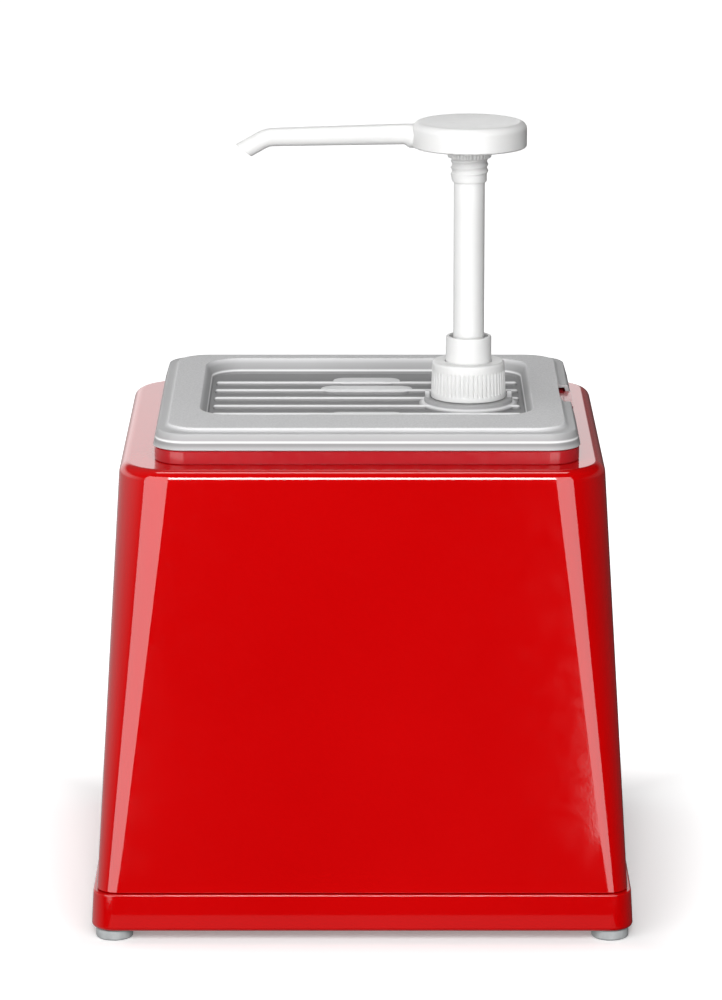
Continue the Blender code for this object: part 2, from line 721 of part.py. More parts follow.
def pump_cylinder(material, parent):
    """A straight barrel with a flange at its mouth, and a valve seat and tube socket at its foot."""
    low, high = CYLINDER_FLANGE_Z
    seat_low = CYLINDER_FLOOR_Z - (INLET_TOP_RADIUS - INLET_SEAT_RADIUS)
    socket_top = TUBE_Z[1] + GAP
    socket_radius = TUBE_RADIUS + GAP
    profile = [
        (FLANGE_RADIUS, high),
        (FLANGE_RADIUS, low),
        (CYLINDER_RADIUS, low),
        (CYLINDER_RADIUS, CYLINDER_FLOOR_Z),
        (CYLINDER_RADIUS - 0.0025, CYLINDER_FLOOR_Z - 0.0040),
        (NOZZLE_RADIUS, CYLINDER_FLOOR_Z - 0.0050),
        (NOZZLE_RADIUS, NOZZLE_LOW_Z),
        (socket_radius, NOZZLE_LOW_Z),
        (socket_radius, socket_top),
        (INLET_SEAT_RADIUS, socket_top),
        (INLET_SEAT_RADIUS, seat_low),
        (INLET_TOP_RADIUS, CYLINDER_FLOOR_Z),
        (CYLINDER_BORE_RADIUS, CYLINDER_FLOOR_Z),
        (CYLINDER_BORE_RADIUS, high),
    ]
    pump_part("pump_cylinder", profile, material, parent)


def cone_rest_height(ball_radius, seat_radius, seat_z):
    """How high a ball's middle lies when it rests, GAP above, on a 45 degree seat: seat_radius wide at seat_z."""
    return seat_z - seat_radius + (ball_radius + GAP) * math.sqrt(2)


def inlet_cage(material, parent):
    """A domed cage that keeps the inlet ball near its seat, open through four side windows."""
    low = CYLINDER_FLOOR_Z + GAP
    high = low + CAGE_HEIGHT
    wall_outer = 0.0061
    wall_inner = INLET_BALL_RADIUS + 0.0009
    profile = [
        (wall_outer - 0.0008, high),
        (wall_outer, high - 0.0008),
        (wall_outer, low + 0.0010),
        (CYLINDER_BORE_RADIUS - GAP, low + 0.0010),
        (CYLINDER_BORE_RADIUS - GAP, low),
        (wall_inner, low),
        (wall_inner, high - 0.0013),
        (0.0022, high - 0.0013),
        (0.0022, high),
    ]
    cage = pump_part("inlet_cage", profile, material, parent)
    half = 0.0016
    reach = wall_outer + 0.001
    windows = ((reach, half), (half, reach))
    for index, (half_x, half_y) in enumerate(windows):
        corner_low = (PUMP_X - half_x, -half_y, low + 0.0022)
        corner_high = (PUMP_X + half_x, half_y, high - 0.0024)
        window = place(f"cage_window_{index}", box_mesh("window", corner_low, corner_high))
        boolean(cage, window, "DIFFERENCE")


def inlet_ball(material, parent):
    seat_low = CYLINDER_FLOOR_Z - (INLET_TOP_RADIUS - INLET_SEAT_RADIUS)
    z = cone_rest_height(INLET_BALL_RADIUS, INLET_SEAT_RADIUS, seat_low)
    mesh = ball_mesh("inlet_ball", INLET_BALL_RADIUS)
    place("inlet_ball", mesh, material, (PUMP_X, 0, z), parent)


def dip_tube(material, parent):
    profile = ring_profile(TUBE_RADIUS, TUBE_BORE_RADIUS, *TUBE_Z)
    pump_part("dip_tube", profile, material, parent)


def return_spring(material, parent):
    """A compression spring whose end turns lie close together."""
    low = CYLINDER_FLOOR_Z + 2 * GAP + 0.0010 + SPRING_WIRE_RADIUS
    high = WASHER_Z[0] - GAP - SPRING_WIRE_RADIUS
    end_pitch = 2 * SPRING_WIRE_RADIUS + 0.0003
    end_rise = SPRING_END_TURNS * end_pitch
    turns = SPRING_ACTIVE_TURNS + 2 * SPRING_END_TURNS
    points = []
    for step in range(int(turns * SPRING_POINTS_PER_TURN) + 1):
        turn = step / SPRING_POINTS_PER_TURN
        if turn < SPRING_END_TURNS:
            z = low + turn * end_pitch
        elif turn > turns - SPRING_END_TURNS:
            z = high - (turns - turn) * end_pitch
        else:
            share = (turn - SPRING_END_TURNS) / SPRING_ACTIVE_TURNS
            z = mix(low + end_rise, high - end_rise, share)
        angle = 2 * math.pi * turn
        points.append((SPRING_RADIUS * math.cos(angle), SPRING_RADIUS * math.sin(angle), z))
    radii = [SPRING_WIRE_RADIUS] * len(points)
    place("return_spring", tube_mesh("return_spring", points, radii, 1), material, (PUMP_X, 0, 0), parent)


# ---- pump: the pieces that travel with the head


def spring_washer(material, parent):
    profile = ring_profile(CYLINDER_BORE_RADIUS - 0.0006, 0.0045, *WASHER_Z)
    pump_part("spring_washer", profile, material, parent)


def piston_seal(material, parent):
    """A seal with a thin lip at each end and a waist between them."""
    low, high = PISTON_Z
    bore = STEM_SPIGOT_RADIUS + GAP
    waist = PISTON_RADIUS - 0.0012
    profile = [
        (PISTON_RADIUS, high),
        (PISTON_RADIUS - 0.0002, high - 0.0020),
        (waist, high - 0.0034),
        (waist, low + 0.0034),
        (PISTON_RADIUS - 0.0002, low + 0.0020),
        (PISTON_RADIUS, low),
        (bore, low),
        (bore, high),
    ]
    pump_part("piston_seal", profile, material, parent)


def pump_stem(material, parent):
    """The tube between piston and head, with the outlet valve's seat in its foot."""
    shoulder = PISTON_Z[1] + GAP
    seat_high = OUTLET_SEAT_Z + STEM_BORE_RADIUS - OUTLET_SEAT_RADIUS
    profile = [
        (STEM_RADIUS, STEM_TOP_Z),
        (STEM_RADIUS, shoulder),
        (STEM_SPIGOT_RADIUS, shoulder),
        (STEM_SPIGOT_RADIUS, PISTON_Z[0]),
        (OUTLET_SEAT_RADIUS, PISTON_Z[0]),
        (OUTLET_SEAT_RADIUS, OUTLET_SEAT_Z),
        (STEM_BORE_RADIUS, seat_high),
        (STEM_BORE_RADIUS, STEM_TOP_Z),
    ]
    pump_part("pump_stem", profile, material, parent)


def outlet_ball(material, parent):
    z = cone_rest_height(OUTLET_BALL_RADIUS, OUTLET_SEAT_RADIUS, OUTLET_SEAT_Z)
    mesh = ball_mesh("outlet_ball", OUTLET_BALL_RADIUS)
    place("outlet_ball", mesh, material, (PUMP_X, 0, z), parent)


def ball_retainer(material, parent):
    low = OUTLET_SEAT_Z + 0.0095
    profile = ring_profile(STEM_BORE_RADIUS - GAP, 0.0018, low, low + 0.0030)
    pump_part("ball_retainer", profile, material, parent, COARSE_STEPS)


def spout_path(start, end_extra=0.0):
    """Points along the spout's middle line, as (distance from the pump's axis, height)."""
    points = [Vector((start, SPOUT_ROOT_Z + (HEAD_RADIUS - start) * math.tan(SPOUT_DROOP)))]
    direction = SPOUT_DROOP
    at = Vector((SPOUT_STRAIGHT, SPOUT_ROOT_Z - (SPOUT_STRAIGHT - HEAD_RADIUS) * math.tan(SPOUT_DROOP)))
    points.append(at.copy())
    steps = 4
    chord = 2 * SPOUT_BEND_RADIUS * math.sin(SPOUT_BEND / steps / 2)
    for _ in range(steps):
        direction += SPOUT_BEND / steps / 2
        at += chord * Vector((math.cos(direction), -math.sin(direction)))
        points.append(at.copy())
        direction += SPOUT_BEND / steps / 2
    length = SPOUT_TIP_STRAIGHT + end_extra
    points.append(at + length * Vector((math.cos(direction), -math.sin(direction))))
    return points


def spout_radius(distance):
    share = min(1.0, max(0.0, (distance - HEAD_RADIUS) / (SPOUT_STRAIGHT - HEAD_RADIUS)))
    return mix(SPOUT_ROOT_RADIUS, SPOUT_END_RADIUS, share)


def spout_solids():
    """The spout's outside, its bore, and the block that cuts its mouth off at a slant."""
    path = spout_path(0.006)
    outside = tube_mesh("spout", [(-d, 0, z) for d, z in path], [spout_radius(d) for d, _ in path], 4)
    bore_path = spout_path(0.0, end_extra=0.004)
    bore_radii = [SPOUT_BORE_RADIUS] * len(bore_path)
    bore = tube_mesh("spout_bore", [(-d, 0, z) for d, z in bore_path], bore_radii, 3)
    block = box_mesh("spout_cut", (-0.010, -0.010, -0.020), (0.010, 0.010, 0))
    distance, height = SPOUT_CUT_AT
    turn = Matrix.Rotation(math.pi / 2 - SPOUT_CUT_ANGLE, 4, "Y")
    block.transform(Matrix.Translation((-distance, 0, height)) @ turn)
    return outside, bore, block


def pump_head(material, parent):
    """A round push pad with a hollow underside, a hub with the lock thread, and the spout."""
    ceiling = HEAD_TOP_Z - 0.0028
    low, high = HUB_THREAD_Z
    turns = 2
    pitch = (high - low) / turns
    profile = [
        (0, HEAD_TOP_Z - HEAD_DISH),
        (HEAD_RADIUS * 0.45, HEAD_TOP_Z - HEAD_DISH * 0.8),
        (HEAD_RADIUS - 0.0040, HEAD_TOP_Z),
        (HEAD_RADIUS - 0.0016, HEAD_TOP_Z - 0.0003),
        (HEAD_RADIUS - 0.0004, HEAD_TOP_Z - 0.0013),
        (HEAD_RADIUS, HEAD_TOP_Z - 0.0028),
        (HEAD_RADIUS, HEAD_LOW_Z + 0.0010),
        (HEAD_RADIUS - 0.0006, HEAD_LOW_Z),
        (HEAD_RADIUS - HEAD_WALL, HEAD_LOW_Z),
        (HEAD_RADIUS - HEAD_WALL, ceiling),
        (HUB_RING_RADIUS, ceiling),
        (HUB_RING_RADIUS, high),
    ]
    for turn in range(turns):
        crest = high - (turn + 0.5) * pitch
        profile += [
            (HUB_RADIUS, crest + 0.0011),
            (HUB_THREAD_RADIUS, crest + 0.0004),
            (HUB_THREAD_RADIUS, crest - 0.0004),
            (HUB_RADIUS, crest - 0.0011),
        ]
    profile += [
        (HUB_RADIUS, HUB_LOW_Z),
        (STEM_RADIUS + GAP, HUB_LOW_Z),
        (STEM_RADIUS + GAP, STEM_TOP_Z + GAP),
        (0.0030, STEM_TOP_Z + GAP),
        (0.0030, SPOUT_ROOT_Z),
        (0, SPOUT_ROOT_Z),
    ]
    head = pump_part("pump_head", profile, material, parent, FINE_STEPS, hollow=False)
    outside, bore, block = spout_solids()
    for name, mesh, operation in (
        ("spout", outside, "UNION"),
        ("spout_bore", bore, "DIFFERENCE"),
        ("spout_cut", block, "DIFFERENCE"),
    ):
        boolean(head, place(name, mesh, None, (PUMP_X, 0, 0)), operation)


def build():
    red = plastic("red_gloss_plastic", RED, 0.12)
    frost = plastic("frosted_plastic", FROST, 0.45, alpha=0.6)
    lid_frost = plastic("lid_plastic", FROST, 0.40)
    white = plastic("white_plastic", WHITE, 0.30)
    seal = plastic("seal_plastic", SEAL_WHITE, 0.55)
    rubber = plastic("foot_rubber", GREY, 0.75)
    steel = plastic("screw_steel", STEEL, 0.30, metallic=1.0)
    spring_steel = plastic("spring_steel", STEEL, 0.25, metallic=1.0)
    ball_steel = plastic("ball_steel", BALL_STEEL, 0.10, metallic=1.0)

    housing_shell(red)
    base_plinth(red)
    for index, (x, y) in enumerate(foot_places(), start=1):
        rubber_foot(index, x, y, rubber)
        foot_screw(index, x, y, steel)

    food_pan(frost)
    pan_lid(lid_frost)

    axis = (PUMP_X, 0, COLLAR_LOW_Z)
    body = empty("pump_body_axis", axis)
    collar = empty("collar_axis", axis, body)
    plunger = empty("plunger_axis", (PUMP_X, 0, PISTON_Z[0]), body)
    head = empty("head_axis", (PUMP_X, 0, HUB_LOW_Z), plunger)
    screw_collar(white, collar)
    for make in (stem_guide, dip_tube, pump_cylinder, inlet_cage):
        make(white, body)
    for make in (stem_wiper, neck_gasket):
        make(seal, body)
    return_spring(spring_steel, body)
    inlet_ball(ball_steel, body)
    spring_washer(white, plunger)
    piston_seal(seal, plunger)
    pump_stem(white, head)
    ball_retainer(white, head)
    outlet_ball(ball_steel, head)
    pump_head(white, head)


build()
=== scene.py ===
"""The looks of a condiment pump dispenser: fine shells, turned pump parts and materials.

Metres, +Z up, front towards -Y. The pump stands towards +X, and its spout points to -X.
"""

import math

import bmesh
import bpy
from mathutils import Matrix, Vector

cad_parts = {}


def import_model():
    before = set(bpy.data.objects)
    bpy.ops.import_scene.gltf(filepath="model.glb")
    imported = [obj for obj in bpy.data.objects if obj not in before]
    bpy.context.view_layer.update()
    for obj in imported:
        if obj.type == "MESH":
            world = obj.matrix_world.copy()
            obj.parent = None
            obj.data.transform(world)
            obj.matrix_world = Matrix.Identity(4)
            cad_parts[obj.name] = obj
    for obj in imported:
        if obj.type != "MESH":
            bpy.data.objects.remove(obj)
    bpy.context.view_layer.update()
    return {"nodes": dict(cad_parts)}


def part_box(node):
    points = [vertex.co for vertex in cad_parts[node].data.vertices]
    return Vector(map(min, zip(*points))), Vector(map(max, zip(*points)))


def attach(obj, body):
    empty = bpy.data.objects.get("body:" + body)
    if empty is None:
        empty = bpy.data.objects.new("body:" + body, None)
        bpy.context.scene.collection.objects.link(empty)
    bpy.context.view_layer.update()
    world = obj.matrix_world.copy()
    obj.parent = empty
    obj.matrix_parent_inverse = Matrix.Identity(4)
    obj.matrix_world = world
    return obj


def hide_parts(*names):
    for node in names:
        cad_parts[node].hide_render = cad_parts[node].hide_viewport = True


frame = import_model()

CORNER_STEPS = 14
TURN_STEPS = 96
INNER_STEPS = 64
MM = 0.001

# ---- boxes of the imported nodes, which every place below is worked out from

PLINTH_LOW, PLINTH_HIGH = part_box("base_plinth")
SHELL_LOW, SHELL_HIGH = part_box("housing_shell")
PAN_LOW, PAN_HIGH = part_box("food_pan")
LID_LOW, LID_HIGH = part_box("pan_lid")
COLLAR_LOW, COLLAR_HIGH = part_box("screw_collar")
GUIDE_LOW, GUIDE_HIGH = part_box("stem_guide")
STEM_LOW, STEM_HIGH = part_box("pump_stem")
HEAD_LOW, HEAD_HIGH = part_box("pump_head")
BARREL_LOW, BARREL_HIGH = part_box("pump_cylinder")
TUBE_LOW, TUBE_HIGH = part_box("dip_tube")
PUMP_X = (COLLAR_LOW.x + COLLAR_HIGH.x) / 2
TOUCH_GAP = 0.3 * MM
SEAM_Z = PLINTH_HIGH.z + TOUCH_GAP
PAN_X = (LID_LOW.x + LID_HIGH.x) / 2
LID_HALF = (LID_HIGH.x - LID_LOW.x) / 2


def mix(low, high, share):
    return low + (high - low) * share


# ---- materials


class Nodes:
    """A material's node tree, with short calls to add and link its nodes."""

    def __init__(self, name):
        self.material = bpy.data.materials.new(name)
        self.material.use_nodes = True
        self.tree = self.material.node_tree
        self.shader = self.tree.nodes["Principled BSDF"]

    def add(self, kind, **settings):
        node = self.tree.nodes.new(kind)
        for key, value in settings.items():
            if key in node.inputs:
                node.inputs[key].default_value = value
            else:
                setattr(node, key, value)
        return node

    def link(self, out, socket):
        self.tree.links.new(out, socket)

    def set(self, **values):
        for name, value in values.items():
            self.shader.inputs[name.replace("_", " ")].default_value = value

    def noise(self, scale, detail=2.0, rough=0.5, stretch=(1, 1, 1)):
        place = self.add("ShaderNodeTexCoord")
        mapping = self.add("ShaderNodeMapping")
        mapping.inputs["Scale"].default_value = stretch
        self.link(place.outputs["Object"], mapping.inputs["Vector"])
        noise = self.add("ShaderNodeTexNoise", Scale=scale, Detail=detail, Roughness=rough)
        self.link(mapping.outputs["Vector"], noise.inputs["Vector"])
        return noise.outputs["Fac"]

    def ramp(self, factor, low, high, start=0.3, end=0.7):
        """Maps a factor between start and end onto numbers or colours between low and high."""
        if isinstance(low, tuple):
            node = self.add("ShaderNodeValToRGB")
            node.color_ramp.elements[0].position = start
            node.color_ramp.elements[1].position = end
            node.color_ramp.elements[0].color = (*low, 1)
            node.color_ramp.elements[1].color = (*high, 1)
            self.link(factor, node.inputs["Fac"])
            return node.outputs["Color"]
        node = self.add("ShaderNodeMapRange")
        for socket, value in zip(("From Min", "From Max", "To Min", "To Max"), (start, end, low, high)):
            node.inputs[socket].default_value = value
        self.link(factor, node.inputs["Value"])
        return node.outputs["Result"]

    def bump(self, height, strength, distance, before=None):
        node = self.add("ShaderNodeBump", Strength=strength, Distance=distance)
        self.link(height, node.inputs["Height"])
        if before:
            self.link(before, node.inputs["Normal"])
        return node.outputs["Normal"]


def red_gloss():
    """Glossy moulded plastic: slow shrink waves, faint speckle in the red, and fine handling marks."""
    m = Nodes("red_gloss_plastic")
    tone = m.noise(9.0, 3.0)
    m.link(m.ramp(tone, (0.465, 0.0004, 0.0008), (0.500, 0.0010, 0.0014)), m.shader.inputs["Base Color"])
    marks = m.noise(140.0, 4.0, 0.65)
    m.link(m.ramp(marks, 0.035, 0.075, 0.35, 0.75), m.shader.inputs["Roughness"])
    waves = m.bump(m.noise(7.0, 1.0), 0.02, 0.001)
    m.link(m.bump(m.noise(900.0, 1.0), 0.015, 0.0002, waves), m.shader.inputs["Normal"])
    m.set(IOR=1.65)
    return m.material


def frosted(name, low, high, transmission, roughness, grain):
    """Milky polypropylene: light passes softly, with a fine grain in its surface."""
    m = Nodes(name)
    cloud = m.noise(26.0, 3.0)
    m.link(m.ramp(cloud, low, high), m.shader.inputs["Base Color"])
    m.link(m.ramp(m.noise(300.0, 3.0), roughness, roughness + 0.12), m.shader.inputs["Roughness"])
    m.link(m.bump(m.noise(2200.0, 2.0), grain, 0.0002), m.shader.inputs["Normal"])
    m.set(IOR=1.49, Transmission_Weight=transmission)
    return m.material


def colour(sockets, name):
    """The colour socket of that name on a Mix node, which has one for every data type."""
    return next(socket for socket in sockets if socket.name == name and socket.type == "RGBA")


def lid_painted_light_tones(m, z):
    """Greys painted by height: painted shade in the recess and on the skirt, a painted highlight on the rib
    tops. They also stand in for what shows through the real, frosted lid.
    """
    tones = m.add("ShaderNodeValToRGB")
    for index, (tone_z, tone) in enumerate(LID_PAINTED_LIGHT_TONES):
        stops = tones.color_ramp.elements
        stop = stops[index] if index < 2 else stops.new(1.0)
        stop.position = (tone_z - LID_LOW.z) / (LID_BORDER_Z - LID_LOW.z)
        stop.color = (tone, tone, tone * 1.01, 1)
    m.link(m.ramp(z, 0.0, 1.0, LID_LOW.z, LID_BORDER_Z), tones.inputs["Fac"])
    return tones.outputs["Color"]


def lid_plastic():
    """The lid's opaque plastic, with a spark-eroded grain on the border and light and shade painted in by
    height.
    """
    m = Nodes("lid_plastic_painted_light")
    place = m.add("ShaderNodeTexCoord")
    split = m.add("ShaderNodeSeparateXYZ")
    m.link(place.outputs["Object"], split.inputs["Vector"])
    z = split.outputs["Z"]
    grain_share = m.ramp(z, 0.0, 1.0, LID_BORDER_Z - 0.4 * MM, LID_BORDER_Z - 0.1 * MM)
    speckle = m.noise(1500.0, 3.0, 0.7)
    cloud = m.noise(30.0, 3.0)
    smooth_tone = m.ramp(cloud, (0.96, 0.96, 0.96), (1.0, 1.0, 1.0))
    grain_tone = m.ramp(speckle, (0.76, 0.76, 0.76), (1.0, 1.0, 1.0))
    blend = m.add("ShaderNodeMix", data_type="RGBA")
    m.link(grain_share, blend.inputs["Factor"])
    m.link(smooth_tone, colour(blend.inputs, "A"))
    m.link(grain_tone, colour(blend.inputs, "B"))
    # painted shade and highlight by height, times the plastic's own tone
    product = m.add("ShaderNodeVectorMath", operation="MULTIPLY")
    m.link(lid_painted_light_tones(m, z), product.inputs[0])
    m.link(colour(blend.outputs, "Result"), product.inputs[1])
    m.link(product.outputs["Vector"], m.shader.inputs["Base Color"])
    m.link(m.ramp(grain_share, 0.50, 0.60, 0.0, 1.0), m.shader.inputs["Roughness"])
    bumps = m.add("ShaderNodeMath", operation="MULTIPLY")
    m.link(speckle, bumps.inputs[0])
    m.link(grain_share, bumps.inputs[1])
    m.link(m.bump(bumps.outputs["Value"], 0.25, 0.0003), m.shader.inputs["Normal"])
    m.set(IOR=1.49, Specular_IOR_Level=0.25)
    return m.material


def white_plastic(name, low, high, roughness):
    """White polypropylene: a waxy sheen, a little light inside it, and faint flow marks."""
    m = Nodes(name)
    m.link(m.ramp(m.noise(40.0, 3.0), low, high), m.shader.inputs["Base Color"])
    m.link(m.ramp(m.noise(250.0, 3.0), roughness, roughness + 0.10), m.shader.inputs["Roughness"])
    m.link(m.bump(m.noise(700.0, 2.0), 0.04, 0.0002), m.shader.inputs["Normal"])
    m.set(IOR=1.49, Subsurface_Weight=0.12, Subsurface_Scale=0.002)
    m.shader.inputs["Subsurface Radius"].default_value = (1.0, 0.95, 0.9)
    return m.material


def grey_rubber():
    """Light grey rubber with a dusty bloom and a fine open grain."""
    m = Nodes("grey_rubber")
    tone = m.ramp(m.noise(220.0, 4.0), (0.33, 0.345, 0.35), (0.42, 0.435, 0.44))
    m.link(tone, m.shader.inputs["Base Color"])
    m.link(m.ramp(m.noise(500.0, 2.0), 0.62, 0.82), m.shader.inputs["Roughness"])
    m.link(m.bump(m.noise(1800.0, 3.0), 0.25, 0.0003), m.shader.inputs["Normal"])
    return m.material


def metal(name, low, high, roughness, stretch, scale):
    """Plain metal with fine drawing or turning marks along one direction."""
    m = Nodes(name)
    lines = m.noise(scale, 3.0, 0.6, stretch)
    m.link(m.ramp(lines, low, high), m.shader.inputs["Base Color"])
    m.link(m.ramp(lines, roughness, roughness + 0.15), m.shader.inputs["Roughness"])
    m.link(m.bump(lines, 0.08, 0.0001), m.shader.inputs["Normal"])
    m.set(Metallic=1.0)
    return m.material


# ---- meshes


def new_object(name, mesh, material):
    obj = bpy.data.objects.new(name, mesh)
    bpy.context.scene.collection.objects.link(obj)
    mesh.materials.clear()
    mesh.materials.append(material)
    return obj


def finish_piece(obj, body, slot, *nodes, sharp=35):
    """Shades a piece, makes it ride on a body, and lets it stand for CAD nodes."""
    obj.data.shade_smooth()
    obj.data.set_sharp_from_angle(angle=math.radians(sharp))
    modifier = obj.modifiers.new("weighted_normals", "WEIGHTED_NORMAL")
    modifier.keep_sharp = True
    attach(obj, body)
    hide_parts(*nodes)
    return obj


def mesh_from(work, name):
    bmesh.ops.recalc_face_normals(work, faces=work.faces)
    mesh = bpy.data.meshes.new(name)
    work.to_mesh(mesh)
    work.free()
    return mesh


def ring(half, corner, z, centre=(0.0, 0.0)):
    """The points of a rounded rectangle at height z, anticlockwise seen from above."""
    points = []
    for quarter, (side_x, side_y) in enumerate(((1, 1), (-1, 1), (-1, -1), (1, -1))):
        middle_x = side_x * (half[0] - corner) + centre[0]
        middle_y = side_y * (half[1] - corner) + centre[1]
        for step in range(CORNER_STEPS + 1):
            angle = math.pi / 2 * (quarter + step / CORNER_STEPS)
            x = middle_x + corner * math.cos(angle)
            y = middle_y + corner * math.sin(angle)
            points.append(Vector((x, y, z)))
    return points


def loft(name, rings, closed_loop=False):
    """Joins the rings in order, and caps the first and last ones unless the loop is closed."""
    work = bmesh.new()
    rows = [[work.verts.new(point) for point in points] for points in rings]
    count = len(rows[0])
    pairs = list(zip(rows, rows[1:]))
    if closed_loop:
        pairs.append((rows[-1], rows[0]))
    for low, high in pairs:
        for i in range(count):
            j = (i + 1) % count
            work.faces.new((low[i], low[j], high[j], high[i]))
    if not closed_loop:
        work.faces.new(reversed(rows[0]))
        work.faces.new(rows[-1])
    return mesh_from(work, name)


def lathe(name, profile, steps=TURN_STEPS, hollow=True, wave=None):
    """Turns (radius, z) points about Z. wave(angle, radius, z) may move a point's radius."""
    work = bmesh.new()
    rows = []
    for radius, z in profile:
        if radius < 1e-7:
            rows.append([work.verts.new((0, 0, z))])
            continue
        row = []
        for step in range(steps):
            angle = 2 * math.pi * step / steps
            reach = wave(angle, radius, z) if wave else radius
            row.append(work.verts.new((reach * math.cos(angle), reach * math.sin(angle), z)))
        rows.append(row)
    pairs = list(zip(rows, rows[1:]))
    if hollow:
        pairs.append((rows[-1], rows[0]))
    for high, low in pairs:
        for i in range(steps):
            j = (i + 1) % steps
            if len(high) == 1:
                work.faces.new((high[0], low[i], low[j]))
            elif len(low) == 1:
                work.faces.new((high[i], low[0], high[j]))
            else:
                work.faces.new((high[i], low[i], low[j], high[j]))
    return mesh_from(work, name)


def arc(middle, radius, start, end, steps=6):
    """Points of an arc in the (radius, z) plane, from one angle in degrees to another."""
    points = []
    for step in range(steps + 1):
        angle = math.radians(mix(start, end, step / steps))
        points.append((middle[0] + radius * math.cos(angle), middle[1] + radius * math.sin(angle)))
    return points


def box_mesh(name, low, high):
    work = bmesh.new()
    size = Vector(high) - Vector(low)
    matrix = Matrix.Translation((Vector(high) + Vector(low)) / 2) @ Matrix.Diagonal((*size, 1))
    bmesh.ops.create_cube(work, size=1, matrix=matrix)
    return mesh_from(work, name)


def tube(name, points, radii, sides=32):
    """A round tube through the points, with a radius for each, closed at both ends by caps."""
    work = bmesh.new()
    rows = []
    for index, point in enumerate(points):
        before = points[max(index - 1, 0)]
        after = points[min(index + 1, len(points) - 1)]
        along = (after - before).normalized()
        side = along.cross(Vector((0, 1, 0))).normalized()
        over = side.cross(along)
        row = []
        for step in range(sides):
            angle = 2 * math.pi * step / sides
            spoke = math.cos(angle) * side + math.sin(angle) * over
            row.append(work.verts.new(point + radii[index] * spoke))
        rows.append(row)
    for low, high in zip(rows, rows[1:]):
        for i in range(sides):
            j = (i + 1) % sides
            work.faces.new((low[i], low[j], high[j], high[i]))
    work.faces.new(rows[0])
    work.faces.new(reversed(rows[-1]))
    return mesh_from(work, name)


def combine(obj, others, operation):
    """Joins or cuts the object with each of the meshes in turn, and keeps the result."""
    for mesh in others:
        other = bpy.data.objects.new("operand", mesh)
        bpy.context.scene.collection.objects.link(other)
        modifier = obj.modifiers.new("combine", "BOOLEAN")
        modifier.operation = operation
        modifier.solver = "EXACT"
        modifier.object = other
        graph = bpy.context.evaluated_depsgraph_get()
        result = bpy.data.meshes.new_from_object(obj.evaluated_get(graph))
        obj.modifiers.remove(modifier)
        obj.data = result
        bpy.data.objects.remove(other)
    return obj


# ---- housing and plinth

BODY_TOP_INSET = 10.3 * MM
BODY_LOW_CORNER = 9 * MM
BODY_TOP_CORNER = 21.5 * MM
BODY_WALL = 3 * MM
RIM_ROUND = 4.3 * MM
BODY_HALF = (SHELL_HIGH.x, SHELL_HIGH.y)
UPSTAND_HEIGHT = 5.6 * MM
UPSTAND_WALL = 2.4 * MM
BODY_TOP_Z = SHELL_HIGH.z - UPSTAND_HEIGHT
OPENING_CLEARANCE = 1.5 * MM
OPENING_CORNER = 12 * MM
OPENING_WALL_DEPTH = 12 * MM
FOOT_INSET = 9.6 * MM
BOSS_RADIUS = 4.5 * MM
BOSS_TOP_Z = 36 * MM
BOSS_HOLE_TOP_Z = 31 * MM
PLINTH_HOLE_TOP_Z = 10 * MM
SCREW_HOLE_RADIUS = 1.9 * MM
PLINTH_DRAFT = 0.9 * MM


def body_ring(z, inset=0.0):
    share = (z - SEAM_Z) / (BODY_TOP_Z - SEAM_Z)
    half = [side - BODY_TOP_INSET * share - inset for side in BODY_HALF]
    return ring(half, mix(BODY_LOW_CORNER, BODY_TOP_CORNER, share) - inset, z)


def opening_ring(z, outset=0.0):
    half = [side + OPENING_CLEARANCE + outset for side in PAN_MOUTH_HALF]
    return ring(half, OPENING_CORNER + outset, z, (PAN_X, 0))


def housing():
    low_edge = 0.35 * MM
    rings = []
    for degrees in range(0, 91, 30):
        angle = math.radians(degrees)
        rings.append(body_ring(SEAM_Z + low_edge * (1 - math.sin(angle)), low_edge * (1 - math.cos(angle))))
    rings.reverse()
    for degrees in range(0, 91, 10):
        angle = math.radians(degrees)
        drop = RIM_ROUND * (1 - math.sin(angle))
        rings.append(body_ring(BODY_TOP_Z - drop, RIM_ROUND * (1 - math.cos(angle))))
    fillet = 0.5 * MM
    for degrees in (0, 30, 60, 90):
        angle = math.radians(degrees)
        outset = UPSTAND_WALL + fillet * (1 - math.sin(angle))
        rings.append(opening_ring(BODY_TOP_Z + fillet * (1 - math.cos(angle)), outset))
    edge = 0.8 * MM
    for degrees in range(0, 91, 30):
        angle = math.radians(degrees)
        z = SHELL_HIGH.z - edge * (1 - math.sin(angle))
        rings.append(opening_ring(z, UPSTAND_WALL - edge * (1 - math.cos(angle))))
    for degrees in range(90, -1, -30):
        angle = math.radians(degrees)
        rings.append(opening_ring(SHELL_HIGH.z - edge * (1 - math.sin(angle)), edge * (1 - math.cos(angle))))
    wall_low = BODY_TOP_Z - OPENING_WALL_DEPTH
    under = BODY_TOP_Z - BODY_WALL
    rings += [opening_ring(wall_low), opening_ring(wall_low, UPSTAND_WALL), opening_ring(under, UPSTAND_WALL)]
    rings += [body_ring(under, BODY_WALL), body_ring(SEAM_Z, BODY_WALL)]
    shell = new_object("housing_fine", loft("housing_fine", rings, closed_loop=True), RED)
    combine(shell, pegs_over_feet(BOSS_RADIUS, SHELL_LOW.z, BOSS_TOP_Z, 32), "UNION")
    combine(shell, pegs_over_feet(SCREW_HOLE_RADIUS, 0, BOSS_HOLE_TOP_Z, 24), "DIFFERENCE")
    return finish_piece(shell, "housing", "red_plastic", "housing_shell")


def foot_places():
    x, y = PLINTH_HIGH.x - FOOT_INSET, PLINTH_HIGH.y - FOOT_INSET
    return ((x, -y), (-x, -y), (-x, y), (x, y))


def pegs_over_feet(radius, low, high, steps):
    """An upright cylinder over each foot, as meshes to add or cut."""
    pegs = []
    for x, y in foot_places():
        peg = lathe("peg", [(0, high), (radius, high), (radius, low), (0, low)], steps, hollow=False)
        peg.transform(Matrix.Translation((x, y, 0)))
        pegs.append(peg)
    return pegs


